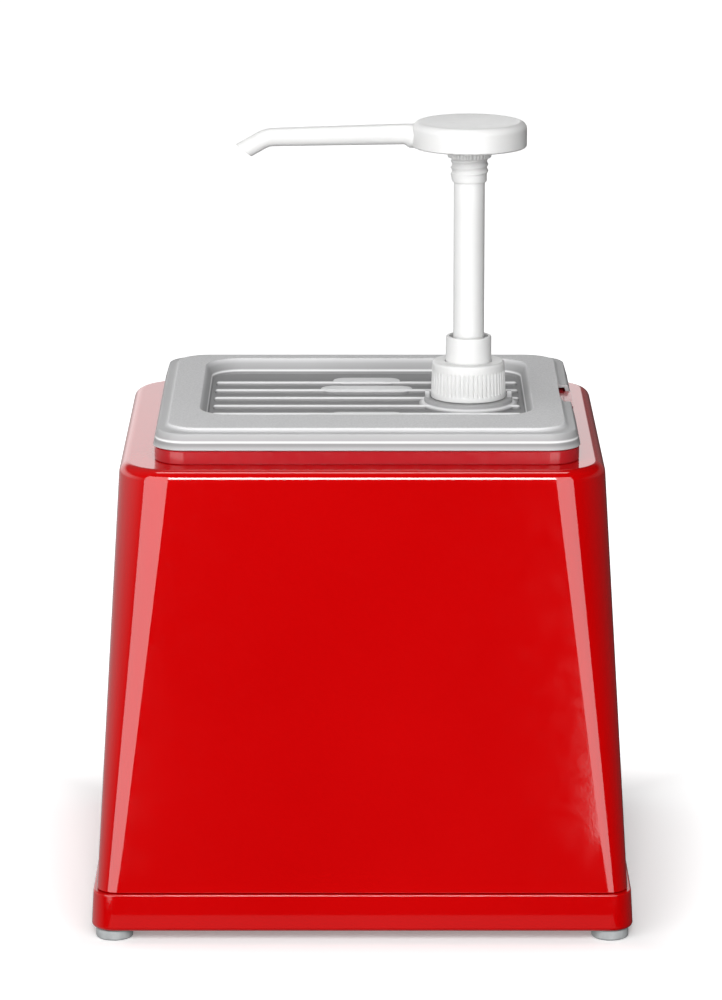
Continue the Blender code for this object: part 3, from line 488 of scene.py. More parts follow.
def plinth():
    half = (PLINTH_HIGH.x, PLINTH_HIGH.y)
    wall, floor, corner = 4 * MM, 4 * MM, 10 * MM

    def plinth_ring(z, inset=0.0):
        inset += PLINTH_DRAFT * (z - PLINTH_LOW.z) / (PLINTH_HIGH.z - PLINTH_LOW.z)
        return ring([side - inset for side in half], corner - inset, z)

    low_round, top_round = 2 * MM, 0.6 * MM
    rings = []
    for degrees in range(90, -1, -15):
        angle = math.radians(degrees)
        rise = low_round * (1 - math.sin(angle))
        rings.append(plinth_ring(PLINTH_LOW.z + rise, low_round * (1 - math.cos(angle))))
    for degrees in range(0, 91, 30):
        angle = math.radians(degrees)
        drop = top_round * (1 - math.sin(angle))
        rings.append(plinth_ring(PLINTH_HIGH.z - drop, top_round * (1 - math.cos(angle))))
    rings += [plinth_ring(PLINTH_HIGH.z, wall), plinth_ring(PLINTH_LOW.z + floor, wall)]
    tray = new_object("plinth_fine", loft("plinth_fine", rings), RED)
    combine(tray, pegs_over_feet(SCREW_HOLE_RADIUS, 0, PLINTH_HOLE_TOP_Z, 24), "DIFFERENCE")
    return finish_piece(tray, "housing", "red_plastic", "base_plinth")


def feet_and_screws():
    for index in range(1, 5):
        low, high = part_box(f"rubber_foot_{index}")
        middle = Vector(((low.x + high.x) / 2, (low.y + high.y) / 2, 0))
        radius = (high.x - low.x) / 2
        well, well_top, hole = 4.3 * MM, 2.5 * MM, SCREW_HOLE_RADIUS
        profile = [*arc((radius - 0.5 * MM, high.z - 0.5 * MM), 0.5 * MM, 90, 0, 3)]
        profile += arc((radius - 1.0 * MM, 1.0 * MM), 1.0 * MM, 0, -90, 5)
        profile += [(well + 0.3 * MM, 0), (well, 0.3 * MM), (well, well_top)]
        profile += [(hole, well_top), (hole, high.z)]
        foot = new_object(f"foot_{index}_fine", lathe("foot", profile, 64), RUBBER)
        foot.location = middle
        finish_piece(foot, "housing", "foot_rubber", f"rubber_foot_{index}")

        low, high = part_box(f"foot_screw_{index}")
        head, shank, head_top = (high.x - low.x) / 2, 1.5 * MM, 2.2 * MM
        profile = [(0, high.z), (0.6 * MM, high.z), (shank, high.z - 2 * MM)]
        profile += [(shank, head_top), (head, head_top)]
        profile += [(head, low.z + 0.7 * MM), *arc((head - 1.2 * MM, low.z + 0.9 * MM), 0.9 * MM, 0, -90, 5)]
        profile += [(0, low.z)]
        screw = new_object(f"screw_{index}_fine", lathe("screw", profile, 48, False), SCREW_METAL)
        slots = []
        for x, y in ((2.0 * MM, 0.45 * MM), (0.45 * MM, 2.0 * MM)):
            slots.append(box_mesh("slot", (-x, -y, -1 * MM), (x, y, low.z + 0.9 * MM)))
        combine(screw, slots, "DIFFERENCE")
        screw.location = middle
        finish_piece(screw, "housing", "screw_steel", f"foot_screw_{index}")


# ---- food pan and lid

SIDE_DIFFERENCE = LID_HALF - LID_HIGH.y
PAN_CHANNEL_CORNER = 10.5 * MM
PAN_STEP_CORNER = 11.5 * MM
PAN_SKIRT_CORNER = 12.8 * MM
PAN_MOUTH_HALF = (78.5 * MM, 71.5 * MM)
PAN_LOW_HALF = (66 * MM, 59 * MM)
PAN_WALL = 2.1 * MM
PAN_FLOOR = 2.5 * MM
FLOOR_ROUND = 8 * MM
LID_BORDER_Z = 212.5 * MM
LID_CORNER = 13 * MM
LID_DRAFT = 1.6 * MM
BORDER_HALF = 82.7 * MM
BORDER_CORNER = 13.5 * MM
RECESS_HALF = (69.8 * MM, 58.5 * MM)
RECESS_CENTRE = (0.0, 8.5 * MM)
RECESS_CORNER = 15 * MM
RECESS_FLOOR_Z = 206 * MM
RECESS_SLOPE = 3.0 * MM
RECESS_UNDER_Z = 204.2 * MM
# Lid greys by height: painted shade in the recess and on the skirt, a painted highlight on the rib tops, a
# lighter top border.
LID_PAINTED_LIGHT_TONES = (
    (LID_LOW.z, 0.50),
    (RECESS_FLOOR_Z + 0.1 * MM, 0.27),
    (RECESS_FLOOR_Z + 0.8 * MM, 0.27),
    (RECESS_FLOOR_Z + 1.4 * MM, 0.88),
    (RECESS_FLOOR_Z + 2.1 * MM, 0.36),
    (LID_BORDER_Z - 2.2 * MM, 0.42),
    (LID_BORDER_Z, 0.70),
)


def oblong(half_x, corner, z):
    return ring((half_x, half_x - SIDE_DIFFERENCE), corner, z)


def pan_ring(z, inset=0.0):
    share = (z - PAN_LOW.z) / (PAN_HIGH.z - PAN_LOW.z)
    half = [mix(low, high, share) - inset for low, high in zip(PAN_LOW_HALF, PAN_MOUTH_HALF)]
    return ring(half, max(mix(20 * MM, 11 * MM, share) - inset, 2 * MM), z)


def floor_round(floor_z, radius, inset):
    rings = []
    for degrees in range(0, 91, 10):
        angle = math.radians(degrees)
        rise = radius * (1 - math.cos(angle))
        pull = radius * (1 - math.sin(angle))
        rings.append(pan_ring(floor_z + rise, inset + pull))
    return rings


def notch_tab(lip, low):
    """Raises the pan's lip inside the lid's finger notch, so that red shows there. The CAD has no tab."""
    half = ((lip - NOTCH_X - 2.0 * MM) / 2, 15.6 * MM)
    centre = (lip - 0.2 * MM - half[0], NOTCH_Y)
    return loft("notch_tab", [ring(half, 1.5 * MM, z, centre) for z in (low, PAN_HIGH.z - 0.1 * MM)])


def pan():
    lip = PAN_HIGH.x - PAN_X
    under = PAN_HIGH.z - 2.2 * MM
    ledge = PAN_HIGH.z - 4.7 * MM
    step = 3.2 * MM
    channel = step + 1.6 * MM
    rings = floor_round(PAN_LOW.z, FLOOR_ROUND, 0.0)
    rings += [pan_ring(under), oblong(lip - channel, PAN_CHANNEL_CORNER, under)]
    rings.append(oblong(lip - channel, PAN_CHANNEL_CORNER, ledge + 0.9 * MM))
    skirt_low = BODY_TOP_Z + 0.05 * MM
    skirt_inside = lip - 1.8 * MM
    rings += [oblong(skirt_inside, PAN_STEP_CORNER, z) for z in (ledge - 0.8 * MM, skirt_low)]
    for degrees in (-60, -30, 0):
        angle = math.radians(degrees)
        edge = 0.5 * MM
        inset = edge * (1 - math.cos(angle))
        z = skirt_low + edge * (1 + math.sin(angle))
        rings.append(oblong(lip - inset, PAN_SKIRT_CORNER - inset, z))
    bevel = 0.4 * MM
    rings.append(oblong(lip, PAN_SKIRT_CORNER, ledge - bevel))
    rings.append(oblong(lip - bevel, PAN_SKIRT_CORNER - bevel, ledge))
    rings.append(oblong(lip - step, PAN_STEP_CORNER, ledge))
    for degrees in (0, 30, 60, 90):
        angle = math.radians(degrees)
        edge = 0.7 * MM
        pull = edge * (1 - math.cos(angle))
        z = PAN_HIGH.z - edge * (1 - math.sin(angle))
        rings.append(oblong(lip - step - pull, PAN_STEP_CORNER - pull, z))
    for degrees in (90, 60, 30, 0):
        angle = math.radians(degrees)
        edge = 0.9 * MM
        drop = edge * (1 - math.sin(angle))
        pull = edge * (1 - math.cos(angle))
        rings.append(pan_ring(PAN_HIGH.z - drop, PAN_WALL - pull))
    rings += reversed(floor_round(PAN_LOW.z + PAN_FLOOR, FLOOR_ROUND - PAN_WALL, PAN_WALL))
    obj = new_object("food_pan_fine", loft("food_pan_fine", rings), PAN)
    combine(obj, [notch_tab(lip, ledge - 0.3 * MM)], "UNION")
    obj.location = (PAN_X, 0, 0)
    return finish_piece(obj, "pan", "pan_plastic", "food_pan")


def recess_ring(inset, z):
    half = [side - inset for side in RECESS_HALF]
    return ring(half, RECESS_CORNER - inset, z, RECESS_CENTRE)


def rounded_edge(make, z, inset, radius, corner, steps=4):
    """Rings that round an outer top edge: from the side face at full size to the flat top."""
    rings = []
    for step in range(steps + 1):
        angle = math.pi / 2 * step / steps
        pull = radius * (1 - math.cos(angle))
        rings.append(make(inset - pull, corner - pull, z - radius * (1 - math.sin(angle))))
    return rings


def lid_plate():
    flange_low = PAN_HIGH.z + 1.3 * MM
    flange_top = LID_BORDER_Z - 1.7 * MM
    skirt_low = PAN_HIGH.z - 4.4 * MM
    skirt = 1.6 * MM
    lip = LID_HALF
    top = lip - LID_DRAFT
    under = LID_BORDER_Z - 1.9 * MM
    rings = [recess_ring(RECESS_SLOPE - 1.5 * MM, RECESS_UNDER_Z), recess_ring(-1.5 * MM, under)]
    rings += [oblong(80 * MM, 12 * MM, under), oblong(80.6 * MM, 12 * MM, flange_low)]
    rings += [oblong(top - skirt, LID_CORNER - skirt, flange_low)]
    rings += [oblong(lip - skirt, LID_CORNER - skirt, skirt_low)]
    rings += [oblong(lip - 0.3 * MM, LID_CORNER, skirt_low), oblong(lip, LID_CORNER, skirt_low + 0.3 * MM)]
    rings += rounded_edge(oblong, flange_top, top, 0.9 * MM, LID_CORNER)
    rings += [oblong(84.0 * MM, BORDER_CORNER, flange_top)]
    rings += [oblong(83.2 * MM, BORDER_CORNER, flange_top + 0.25 * MM)]
    rings += rounded_edge(oblong, LID_BORDER_Z, BORDER_HALF, 0.9 * MM, BORDER_CORNER)
    for degrees in (90, 60, 30, 10):
        angle = math.radians(degrees)
        edge = 0.6 * MM
        rings.append(recess_ring(-edge * (1 - math.cos(angle)), LID_BORDER_Z - edge * (1 - math.sin(angle))))
    for degrees in (10, 40, 65, 90):
        angle = math.radians(degrees)
        edge = 0.8 * MM
        inset = RECESS_SLOPE - 0.6 * edge * (1 - math.sin(angle))
        rings.append(recess_ring(inset, RECESS_FLOOR_Z + edge * (1 - math.cos(math.pi / 2 - angle))))
    return loft("pan_lid_fine", rings)


def capsule(length, radius, sides=16, cap_steps=4):
    """A bar along X with round ends, about the origin."""
    profile = []
    half = length / 2 - radius
    for step in range(cap_steps + 1):
        angle = math.pi / 2 * step / cap_steps
        profile.append((radius * math.sin(angle), half + radius * math.cos(angle)))
    for step in range(cap_steps, -1, -1):
        angle = math.pi / 2 * step / cap_steps
        profile.append((radius * math.sin(angle), -half - radius * math.cos(angle)))
    mesh = lathe("capsule", profile, sides, hollow=False)
    mesh.transform(Matrix.Rotation(math.pi / 2, 4, "Y"))
    return mesh


NOTCH_X = 82 * MM
NOTCH_Y = 1 * MM
NOTCH_CUT_Z = (0.200, 0.216)
LID_BORE_RADIUS = 11.2 * MM
NECK_THREAD_PITCH = 4.2 * MM
LID_BORE_CUT_Z = (0.20, 0.23)
RIB_YS = tuple(-40 * MM + 16 * MM * index for index in range(6))
RIB_HALF = 65.5 * MM
RIB_RADIUS = 1.4 * MM
PADS = ((-25 * MM, 15.5 * MM, 4.8 * MM), (27 * MM, 20 * MM, 6 * MM), (44 * MM, 14.8 * MM, 6 * MM))


def lid():
    obj = new_object("pan_lid_fine", lid_plate(), LID)
    half = (8 * MM, 17 * MM)
    notch = loft("notch", [ring(half, 3 * MM, z, (NOTCH_X + half[0], NOTCH_Y)) for z in NOTCH_CUT_Z])
    pump_x = PUMP_X - PAN_X
    combine(obj, [notch], "DIFFERENCE")
    ribs = []
    for y in RIB_YS:
        rib = capsule(2 * RIB_HALF, RIB_RADIUS)
        rib.transform(Matrix.Translation((0, y, RECESS_FLOOR_Z + 0.3 * MM)))
        ribs.append(rib)
    pads = []
    for y, half_x, half_y in PADS:
        top = RECESS_FLOOR_Z + 1.3 * MM
        rings = [ring((half_x, half_y), half_y * 0.98, RECESS_FLOOR_Z - 0.8 * MM, (0, y))]
        rings += [ring((half_x, half_y), half_y * 0.98, top - 0.4 * MM, (0, y))]
        rings += [ring((half_x - 0.4 * MM, half_y - 0.4 * MM), half_y * 0.98 - 0.4 * MM, top, (0, y))]
        pads.append(loft("pad", rings))
    combine(obj, ribs + pads, "UNION")
    boss_radius, boss_top, neck = 18.8 * MM, 209.5 * MM, 12.8 * MM
    floor = RECESS_UNDER_Z + 0.6 * MM
    profile = [(0, LID_HIGH.z), *arc((neck - 0.4 * MM, LID_HIGH.z - 0.4 * MM), 0.4 * MM, 90, 0, 3)]
    for turn in range(2):
        crest = LID_HIGH.z - 2.4 * MM - turn * NECK_THREAD_PITCH
        profile += [(neck, crest + 1.0 * MM), *arc((neck + 0.5 * MM, crest), 0.5 * MM, 70, -70, 4)]
        profile += [(neck, crest - 1.0 * MM)]
    profile += [(neck, boss_top), *arc((boss_radius - 0.7 * MM, boss_top - 0.7 * MM), 0.7 * MM, 90, 0, 4)]
    profile += [(boss_radius, boss_top - 1.9 * MM), (boss_radius + 2.2 * MM, RECESS_FLOOR_Z + 0.9 * MM)]
    profile += [(boss_radius + 2.2 * MM, floor), (0, floor)]
    boss = lathe("boss", profile, TURN_STEPS, hollow=False)
    boss.transform(Matrix.Translation((pump_x, 0, 0)))
    lugs = []
    for side in (-1, 1):
        outer = pump_x + side * (boss_radius - 0.4 * MM)
        inner = pump_x + side * (COLLAR_HIGH.x - PUMP_X + 0.6 * MM)
        low = (min(inner, outer), -1.4 * MM, boss_top - 0.6 * MM)
        high = (max(inner, outer), 1.4 * MM, boss_top + 2.6 * MM)
        lugs.append(box_mesh("lug", low, high))
    combine(obj, [boss, *lugs], "UNION")
    low, high = LID_BORE_CUT_Z
    profile = [(0, high), (LID_BORE_RADIUS, high), (LID_BORE_RADIUS, low), (0, low)]
    bore = lathe("bore", profile, TURN_STEPS, hollow=False)
    bore.transform(Matrix.Translation((pump_x, 0, 0)))
    combine(obj, [bore], "DIFFERENCE")
    obj.location = (PAN_X, 0, 0)
    return finish_piece(obj, "lid", "lid_plastic", "pan_lid", sharp=30)


# ---- pump


def pump_piece(node, profile, body, steps=TURN_STEPS, wave=None, sharp=35):
    """A turned piece of white plastic on the pump's axis, in place of the CAD node."""
    name = f"{node}_fine"
    obj = new_object(name, lathe(name, profile, steps, wave=wave), WHITE)
    obj.location = (PUMP_X, 0, 0)
    return finish_piece(obj, body, "white_plastic", node, sharp=sharp)


FLUTES = 48
FLUTE_DEPTH = 0.6 * MM


def collar():
    low_radius = (COLLAR_HIGH.x - COLLAR_LOW.x) / 2
    top_radius = low_radius - 0.6 * MM
    bore, thread, hole, plate = 14.6 * MM, 14.2 * MM, 10.1 * MM, 1.5 * MM
    flute_low, flute_high = COLLAR_LOW.z + 2.6 * MM, COLLAR_HIGH.z - 3.9 * MM

    def flute(angle, radius, z):
        """Rounded ribs between narrow grooves, inside the fluted band only."""
        if radius < bore + 0.3 * MM or not flute_low <= z <= flute_high:
            return radius
        groove = max(0.0, math.cos(FLUTES * angle)) ** 2
        return radius - FLUTE_DEPTH * groove

    edge = 1.1 * MM
    profile = arc((top_radius - edge, COLLAR_HIGH.z - edge), edge, 90, 0, 6)
    share = (COLLAR_HIGH.z - flute_high) / (COLLAR_HIGH.z - COLLAR_LOW.z)
    profile += [(mix(top_radius, low_radius, share), flute_high + 0.3 * MM)]
    for step in range(7):
        z = mix(flute_high, flute_low, step / 6)
        profile.append((mix(top_radius, low_radius, (COLLAR_HIGH.z - z) / (COLLAR_HIGH.z - COLLAR_LOW.z)), z))
    profile += [(low_radius - 0.05 * MM, flute_low - 0.3 * MM), (low_radius, COLLAR_LOW.z + 0.9 * MM)]
    profile += arc((low_radius - 0.4 * MM, COLLAR_LOW.z + 0.4 * MM), 0.4 * MM, 0, -90, 3)
    profile += [(bore, COLLAR_LOW.z)]
    for turn in range(2):
        crest = COLLAR_LOW.z + 3 * MM + turn * NECK_THREAD_PITCH
        profile += [(bore, crest - 0.9 * MM), (thread, crest - 0.3 * MM)]
        profile += [(thread, crest + 0.3 * MM), (bore, crest + 0.9 * MM)]
    profile += [(bore, COLLAR_HIGH.z - plate), (hole, COLLAR_HIGH.z - plate)]
    profile += [(hole, COLLAR_HIGH.z - 0.2 * MM), (hole + 0.2 * MM, COLLAR_HIGH.z)]
    pump_piece("screw_collar", profile, "collar", steps=FLUTES * 8, wave=flute, sharp=50)


def guide():
    sleeve, cup = 9.75 * MM, 8.2 * MM
    flange_low, flange_high = GUIDE_HIGH.z - 13.5 * MM, GUIDE_HIGH.z - 12.6 * MM
    flange = (GUIDE_HIGH.x - GUIDE_LOW.x) / 2
    plug = 9.4 * MM
    bore = (STEM_HIGH.x - STEM_LOW.x) / 2 + TOUCH_GAP
    edge = 0.45 * MM
    cup_floor = GUIDE_HIGH.z - 11.5 * MM
    profile = arc((sleeve - edge, GUIDE_HIGH.z - edge), edge, 90, 0, 4)
    profile += [(sleeve, flange_high), (flange, flange_high), (flange, flange_low), (plug, flange_low)]
    well, well_top = plug - 0.9 * MM, GUIDE_LOW.z + 5.8 * MM
    profile += [(plug, GUIDE_LOW.z), (well, GUIDE_LOW.z), (well, well_top)]
    profile += [(bore, well_top), (bore, cup_floor), (cup, cup_floor)]
    profile += arc((cup + 0.3 * MM, GUIDE_HIGH.z - 0.3 * MM), 0.3 * MM, 180, 90, 3)
    pump_piece("stem_guide", profile, "pump_body")


def barrel():
    radius, bore, flange = 10.8 * MM, 9.7 * MM, (BARREL_HIGH.x - BARREL_LOW.x) / 2
    floor = BARREL_LOW.z + 18 * MM
    nozzle, socket = 6.4 * MM, 4.8 * MM
    seat_top, seat = 5 * MM, 3 * MM
    flange_low = BARREL_HIGH.z - 1.3 * MM
    profile = [(flange, BARREL_HIGH.z), (flange, flange_low), (radius, flange_low)]
    groove = radius - 0.15 * MM
    for index in range(3):
        z = BARREL_HIGH.z - (20 + 30 * index) * MM
        profile += [(radius, z), (groove, z - 0.5 * MM), (groove, z - 1.0 * MM), (radius, z - 1.5 * MM)]
    profile += [(radius, floor), *arc((radius - 3 * MM, floor), 3 * MM, -10, -75, 5)]
    profile += [(nozzle, floor - 5 * MM)]
    profile += [(nozzle, BARREL_LOW.z + 0.4 * MM), (nozzle - 0.4 * MM, BARREL_LOW.z), (socket, BARREL_LOW.z)]
    socket_top = TUBE_HIGH.z + TOUCH_GAP
    profile += [(socket, socket_top), (seat, socket_top), (seat, floor - 2 * MM), (seat_top, floor)]
    profile += [(bore, floor), (bore, BARREL_HIGH.z)]
    pump_piece("pump_cylinder", profile, "pump_body", steps=INNER_STEPS)
    tube_outer, tube_inner = (TUBE_HIGH.x - TUBE_LOW.x) / 2, 3.5 * MM
    profile = [(tube_outer, TUBE_HIGH.z), (tube_outer, TUBE_LOW.z + 0.2 * MM)]
    profile += [(tube_outer - 0.2 * MM, TUBE_LOW.z)]
    profile += [(tube_inner, TUBE_LOW.z), (tube_inner, TUBE_HIGH.z)]
    pump_piece("dip_tube", profile, "pump_body", steps=INNER_STEPS)


def stem():
    radius, bore, spigot = (STEM_HIGH.x - STEM_LOW.x) / 2, 4.2 * MM, 4.9 * MM
    shoulder, seat_low, port = STEM_LOW.z + 12.2 * MM, STEM_LOW.z + 8.4 * MM, 2.2 * MM
    profile = [(radius, STEM_HIGH.z), (radius, shoulder + 0.5 * MM), (radius - 0.5 * MM, shoulder)]
    profile += [(spigot, shoulder), (spigot, STEM_LOW.z), (port, STEM_LOW.z)]
    profile += [(port, seat_low), (bore, seat_low + 2 * MM), (bore, STEM_HIGH.z)]
    pump_piece("pump_stem", profile, "head")


HUB_LOW_Z = HEAD_LOW.z
HUB_RADIUS = 7.4 * MM
RING_LOW_Z = HUB_LOW_Z + 10.1 * MM
THREAD_LOW_Z = HUB_LOW_Z + 3.3 * MM
DISC_LOW_Z = HUB_LOW_Z + 14.8 * MM
HEAD_RADIUS = HEAD_HIGH.x - PUMP_X
THREAD_TURNS = 2.5
CASTELLATIONS = 36


def hub_wave(angle, radius, z):
    """Gives the hub its helical lock thread, and above that a ring of small upright ribs."""
    if radius < HUB_RADIUS - 0.4 * MM:
        return radius
    if THREAD_LOW_Z <= z <= RING_LOW_Z:
        pitch = (RING_LOW_Z - THREAD_LOW_Z) / THREAD_TURNS
        turn = (z - THREAD_LOW_Z) / pitch - angle / (2 * math.pi)
        crest = 0.5 - 0.5 * math.cos(2 * math.pi * turn)
        return radius + 0.6 * MM * crest**1.2
    if RING_LOW_Z + 0.3 * MM < z < DISC_LOW_Z + 0.5 * MM:
        return radius - 0.45 * MM * (0.5 + 0.5 * math.cos(CASTELLATIONS * angle)) ** 3
    return radius


def head_body():
    ceiling = HEAD_HIGH.z - 2.8 * MM
    hub, ring_radius, dish = HUB_RADIUS, 9.3 * MM, 0.7 * MM
    socket = (STEM_HIGH.x - STEM_LOW.x) / 2 + TOUCH_GAP
    rim = HEAD_RADIUS - 3.2 * MM
    profile = [(0, HEAD_HIGH.z - dish)]
    for step in range(1, 8):
        share = step / 7
        profile.append((rim * share, HEAD_HIGH.z - dish * (1 - share**3)))
    profile += arc((rim, HEAD_HIGH.z - 3.2 * MM), 3.2 * MM, 84, 0, 8)
    profile += arc((HEAD_RADIUS - 1.0 * MM, DISC_LOW_Z + 1.0 * MM), 1.0 * MM, 0, -90, 4)
    wall = HEAD_RADIUS - 2.0 * MM
    profile += [(wall, DISC_LOW_Z), (wall, ceiling), (ring_radius, ceiling)]
    profile += [(ring_radius, DISC_LOW_Z + 1.0 * MM)]
    for step in range(4):
        profile.append((ring_radius, mix(DISC_LOW_Z, RING_LOW_Z + 0.6 * MM, step / 3)))
    profile += [(ring_radius - 0.3 * MM, RING_LOW_Z + 0.25 * MM), (hub + 0.3 * MM, RING_LOW_Z)]
    steps = 30
    for step in range(steps + 1):
        profile.append((hub, mix(RING_LOW_Z, THREAD_LOW_Z, step / steps)))
    profile += [(hub, HUB_LOW_Z + 0.3 * MM), (hub - 0.2 * MM, HUB_LOW_Z), (socket, HUB_LOW_Z)]
    passage, socket_top = 3 * MM, STEM_HIGH.z + TOUCH_GAP
    profile += [(socket, socket_top), (passage, socket_top), (passage, SPOUT_ROOT_Z), (0, SPOUT_ROOT_Z)]
    return lathe("pump_head_fine", profile, 180, hollow=False, wave=hub_wave)


SPOUT_ROOT_Z = HEAD_HIGH.z - 5.4 * MM
SPOUT_STRAIGHT = 82.8 * MM
SPOUT_DROOP = math.radians(1.4)
SPOUT_BEND = math.radians(28)
SPOUT_BEND_RADIUS = 11 * MM
SPOUT_CUT_AT = (95.8 * MM, 316.3 * MM)
SPOUT_CUT_ANGLE = math.radians(53)


def spout_path(start, tip):
    """Points along the spout's middle line from the pump's axis outwards, tip metres past the bend."""
    def straight(distance):
        return Vector((-distance, 0, SPOUT_ROOT_Z - (distance - HEAD_RADIUS) * math.tan(SPOUT_DROOP)))

    near_pad = [HEAD_RADIUS + step * 0.5 * MM for step in range(-2, 9)]
    beyond = [mix(near_pad[-1], SPOUT_STRAIGHT, step / 8) for step in range(1, 9)]
    points = [straight(distance) for distance in (start, *near_pad, *beyond)]
    at, direction, steps = points[-1].copy(), SPOUT_DROOP, 10
    chord = 2 * SPOUT_BEND_RADIUS * math.sin(SPOUT_BEND / steps / 2)
    for _ in range(steps):
        direction += SPOUT_BEND / steps / 2
        at += chord * Vector((-math.cos(direction), 0, -math.sin(direction)))
        points.append(at.copy())
        direction += SPOUT_BEND / steps / 2
    points.append(at + tip * Vector((-math.cos(direction), 0, -math.sin(direction))))
    return points


def spout_radius(distance):
    """Tapers outwards, and flares into the push pad's side."""
    share = min(1.0, max(0.0, (distance - HEAD_RADIUS) / (SPOUT_STRAIGHT - HEAD_RADIUS)))
    return mix(4.45 * MM, 3.9 * MM, share) + spout_flare(distance)


def spout_flare(distance):
    """How much wider, and lower, the spout is close to the push pad's side."""
    if distance < HEAD_RADIUS - 1.5 * MM:
        return 0.0
    return 0.8 * MM * max(0.0, 1 - max(0.0, distance - HEAD_RADIUS) / (4 * MM)) ** 2


def head():
    obj = new_object("pump_head_fine", head_body(), WHITE)
    path = spout_path(6 * MM, 12 * MM)
    radii = [spout_radius(-point.x) for point in path]
    path = [point - Vector((0, 0, spout_flare(-point.x))) for point in path]
    outside = tube("spout", path, radii, 40)
    inner = spout_path(0.0, 16 * MM)
    bore = tube("spout_bore", inner, [2.5 * MM] * len(inner), 24)
    block = box_mesh("spout_cut", (-0.010, -0.010, -0.020), (0.010, 0.010, 0))
    distance, height = SPOUT_CUT_AT
    turn = Matrix.Rotation(math.pi / 2 - SPOUT_CUT_ANGLE, 4, "Y")
    block.transform(Matrix.Translation((-distance, 0, height)) @ turn)
    combine(obj, [outside], "UNION")
    combine(obj, [bore, block], "DIFFERENCE")
    obj.location = (PUMP_X, 0, 0)
    return finish_piece(obj, "head", "white_plastic", "pump_head", sharp=40)


def carried_over():
    """CAD nodes that keep their own shape and only take a material."""
    steel_nodes = {"return_spring": SPRING_METAL, "inlet_ball": BALL_METAL, "outlet_ball": BALL_METAL}
    seal_nodes = {name: SEAL for name in ("neck_gasket", "stem_wiper", "piston_seal")}
    white_nodes = {name: WHITE for name in ("inlet_cage", "spring_washer", "ball_retainer")}
    for name, material in {**steel_nodes, **seal_nodes, **white_nodes}.items():
        obj = frame["nodes"][name]
        for slot in obj.material_slots:
            slot.material = material


# ---- floor, lights, world and camera

CAMERA_X = -0.0005
CAMERA_DISTANCE = 2.047
CAMERA_HEIGHT = 0.648
CAMERA_PITCH = math.radians(13.3)
LENS = 176.4
FLOOR_SIZE = 30
FLOOR_GLOW = 0.95
SHADE_GLOW = 0.22
SHADE_REACH = 90 * MM
BACKDROP_LIGHT = 1.45


def floor():
    work = bmesh.new()
    bmesh.ops.create_grid(work, x_segments=1, y_segments=1, size=FLOOR_SIZE / 2)
    mesh = bpy.data.meshes.new("floor")
    work.to_mesh(mesh)
    work.free()
    m = Nodes("floor_white")
    m.link(m.ramp(m.noise(3.0), (0.90, 0.90, 0.90), (0.93, 0.93, 0.93)), m.shader.inputs["Base Color"])
    m.link(contact_shade(m), m.shader.inputs["Emission Strength"])
    m.set(Roughness=0.7, Specular_IOR_Level=0.1)
    m.shader.inputs["Emission Color"].default_value = (1, 1, 1, 1)
    obj = new_object("floor", mesh, m.material)
    obj.visible_glossy = False
    obj.visible_diffuse = False


def contact_shade(m):
    """The floor's glow, which is dimmer close to the plinth's outline. It stands in for a contact shadow."""
    place = m.add("ShaderNodeTexCoord")
    split = m.add("ShaderNodeSeparateXYZ")
    m.link(place.outputs["Object"], split.inputs["Vector"])
    sides = []
    for axis, half in (("X", PLINTH_HIGH.x), ("Y", PLINTH_HIGH.y)):
        size = m.add("ShaderNodeMath", operation="ABSOLUTE")
        m.link(split.outputs[axis], size.inputs[0])
        beyond = m.add("ShaderNodeMath", operation="SUBTRACT")
        m.link(size.outputs["Value"], beyond.inputs[0])
        beyond.inputs[1].default_value = half
        sides.append(beyond.outputs["Value"])
    outside = m.add("ShaderNodeMath", operation="MAXIMUM")
    m.link(sides[0], outside.inputs[0])
    m.link(sides[1], outside.inputs[1])
    return m.ramp(outside.outputs["Value"], SHADE_GLOW, FLOOR_GLOW, 0, SHADE_REACH)


def area_light(name, at, target, size, radiance):
    """A rectangular softbox that faces the target. radiance sets how bright its face is."""
    data = bpy.data.lights.new(name, "AREA")
    data.shape = "RECTANGLE"
    data.size, data.size_y = size
    data.energy = radiance * math.pi * size[0] * size[1]
    obj = bpy.data.objects.new(name, data)
    bpy.context.scene.collection.objects.link(obj)
    obj.location = at
    obj.rotation_euler = (Vector(target) - Vector(at)).to_track_quat("-Z", "Y").to_euler()
    return obj


def polar(azimuth, distance, z):
    """A place around the object; azimuth 0 is the front and 90 the right."""
    angle = math.radians(azimuth)
    return (distance * math.sin(angle), -distance * math.cos(angle), z)


def lights():
    middle = (0, 0, 0.16)
    area_light("softbox_left", polar(-32, 1.25, 0.60), (0, 0, 0.60), (1.15, 1.60), 2.9)
    area_light("softbox_right", polar(24.0, 1.35, 0.60), (0, 0, 0.60), (0.85, 1.60), 2.9)
    area_light("key_above_camera", (0, -1.95, 1.30), middle, (0.42, 0.74), 18.0)
    area_light("overhead", (0, 0.10, 1.45), middle, (0.9, 0.30), 4.0)
    card = area_light("card_on_floor", (0, -0.135, 0.001), (0, -0.135, 1), (0.24, 0.045), 0.18)
    card.visible_camera = False


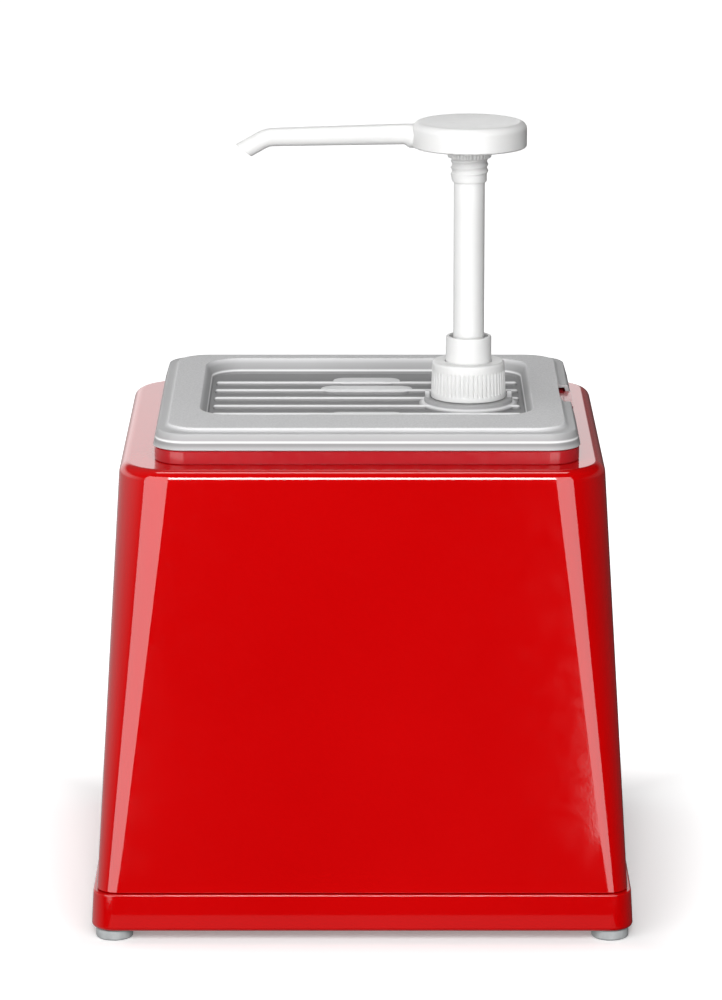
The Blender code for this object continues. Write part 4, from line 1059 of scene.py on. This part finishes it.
def world():
    """A pale backdrop behind the object. It fades overhead, to the front and right, and is dimmer below."""
    studio = bpy.data.worlds.new("studio")
    bpy.context.scene.world = studio
    studio.use_nodes = True
    tree = studio.node_tree
    background = tree.nodes["Background"]
    background.inputs["Color"].default_value = (1, 1, 1, 1)
    place = tree.nodes.new("ShaderNodeTexCoord")
    split = tree.nodes.new("ShaderNodeSeparateXYZ")
    tree.links.new(place.outputs["Generated"], split.inputs["Vector"])
    fades = (
        ("Z", -0.10, 0.06, 0.40 * BACKDROP_LIGHT, BACKDROP_LIGHT),
        ("Z", 0.27, 0.42, 1.0, 0.10),
        ("Y", -0.60, 0.30, 0.02, 1.0),
        ("X", 0.07, 0.11, 1.0, 0.12),
    )
    so_far = None
    for axis, *limits in fades:
        fade = tree.nodes.new("ShaderNodeMapRange")
        for socket, value in zip(("From Min", "From Max", "To Min", "To Max"), limits):
            fade.inputs[socket].default_value = value
        tree.links.new(split.outputs[axis], fade.inputs["Value"])
        product = tree.nodes.new("ShaderNodeMath")
        product.operation = "MULTIPLY"
        product.inputs[0].default_value = 1
        if so_far:
            tree.links.new(so_far, product.inputs[0])
        tree.links.new(fade.outputs["Result"], product.inputs[1])
        so_far = product.outputs["Value"]
    tree.links.new(so_far, background.inputs["Strength"])


def camera():
    data = bpy.data.cameras.new("camera")
    data.sensor_width = 36
    data.lens = LENS
    obj = bpy.data.objects.new("camera", data)
    bpy.context.scene.collection.objects.link(obj)
    obj.location = (CAMERA_X, -CAMERA_DISTANCE, CAMERA_HEIGHT)
    obj.rotation_euler = (math.pi / 2 - CAMERA_PITCH, 0, 0)
    bpy.context.scene.camera = obj


RED = red_gloss()
# The CAD's pan has no colour. The tint stands in for the red plastic that shows through it in the photograph.
PAN = frosted("pan_translucent_plastic", (0.58, 0.018, 0.026), (0.64, 0.028, 0.036), 0.45, 0.10, 0.03)
LID = lid_plastic()
WHITE = white_plastic("white_plastic", (0.71, 0.71, 0.705), (0.75, 0.75, 0.745), 0.28)
SEAL = white_plastic("seal_plastic", (0.72, 0.72, 0.69), (0.78, 0.78, 0.75), 0.45)
RUBBER = grey_rubber()
SCREW_METAL = metal("screw_steel", (0.50, 0.50, 0.52), (0.66, 0.66, 0.68), 0.22, (1, 1, 1), 400)
SPRING_METAL = metal("spring_steel", (0.52, 0.52, 0.54), (0.70, 0.70, 0.72), 0.18, (1, 1, 6), 300)
BALL_METAL = metal("ball_steel", (0.70, 0.70, 0.72), (0.78, 0.78, 0.80), 0.06, (1, 1, 1), 500)

camera()
world()
lights()
floor()
housing()
plinth()
feet_and_screws()
pan()
lid()
collar()
guide()
barrel()
stem()
head()
carried_over()

bpy.context.scene.view_settings.view_transform = "Standard"
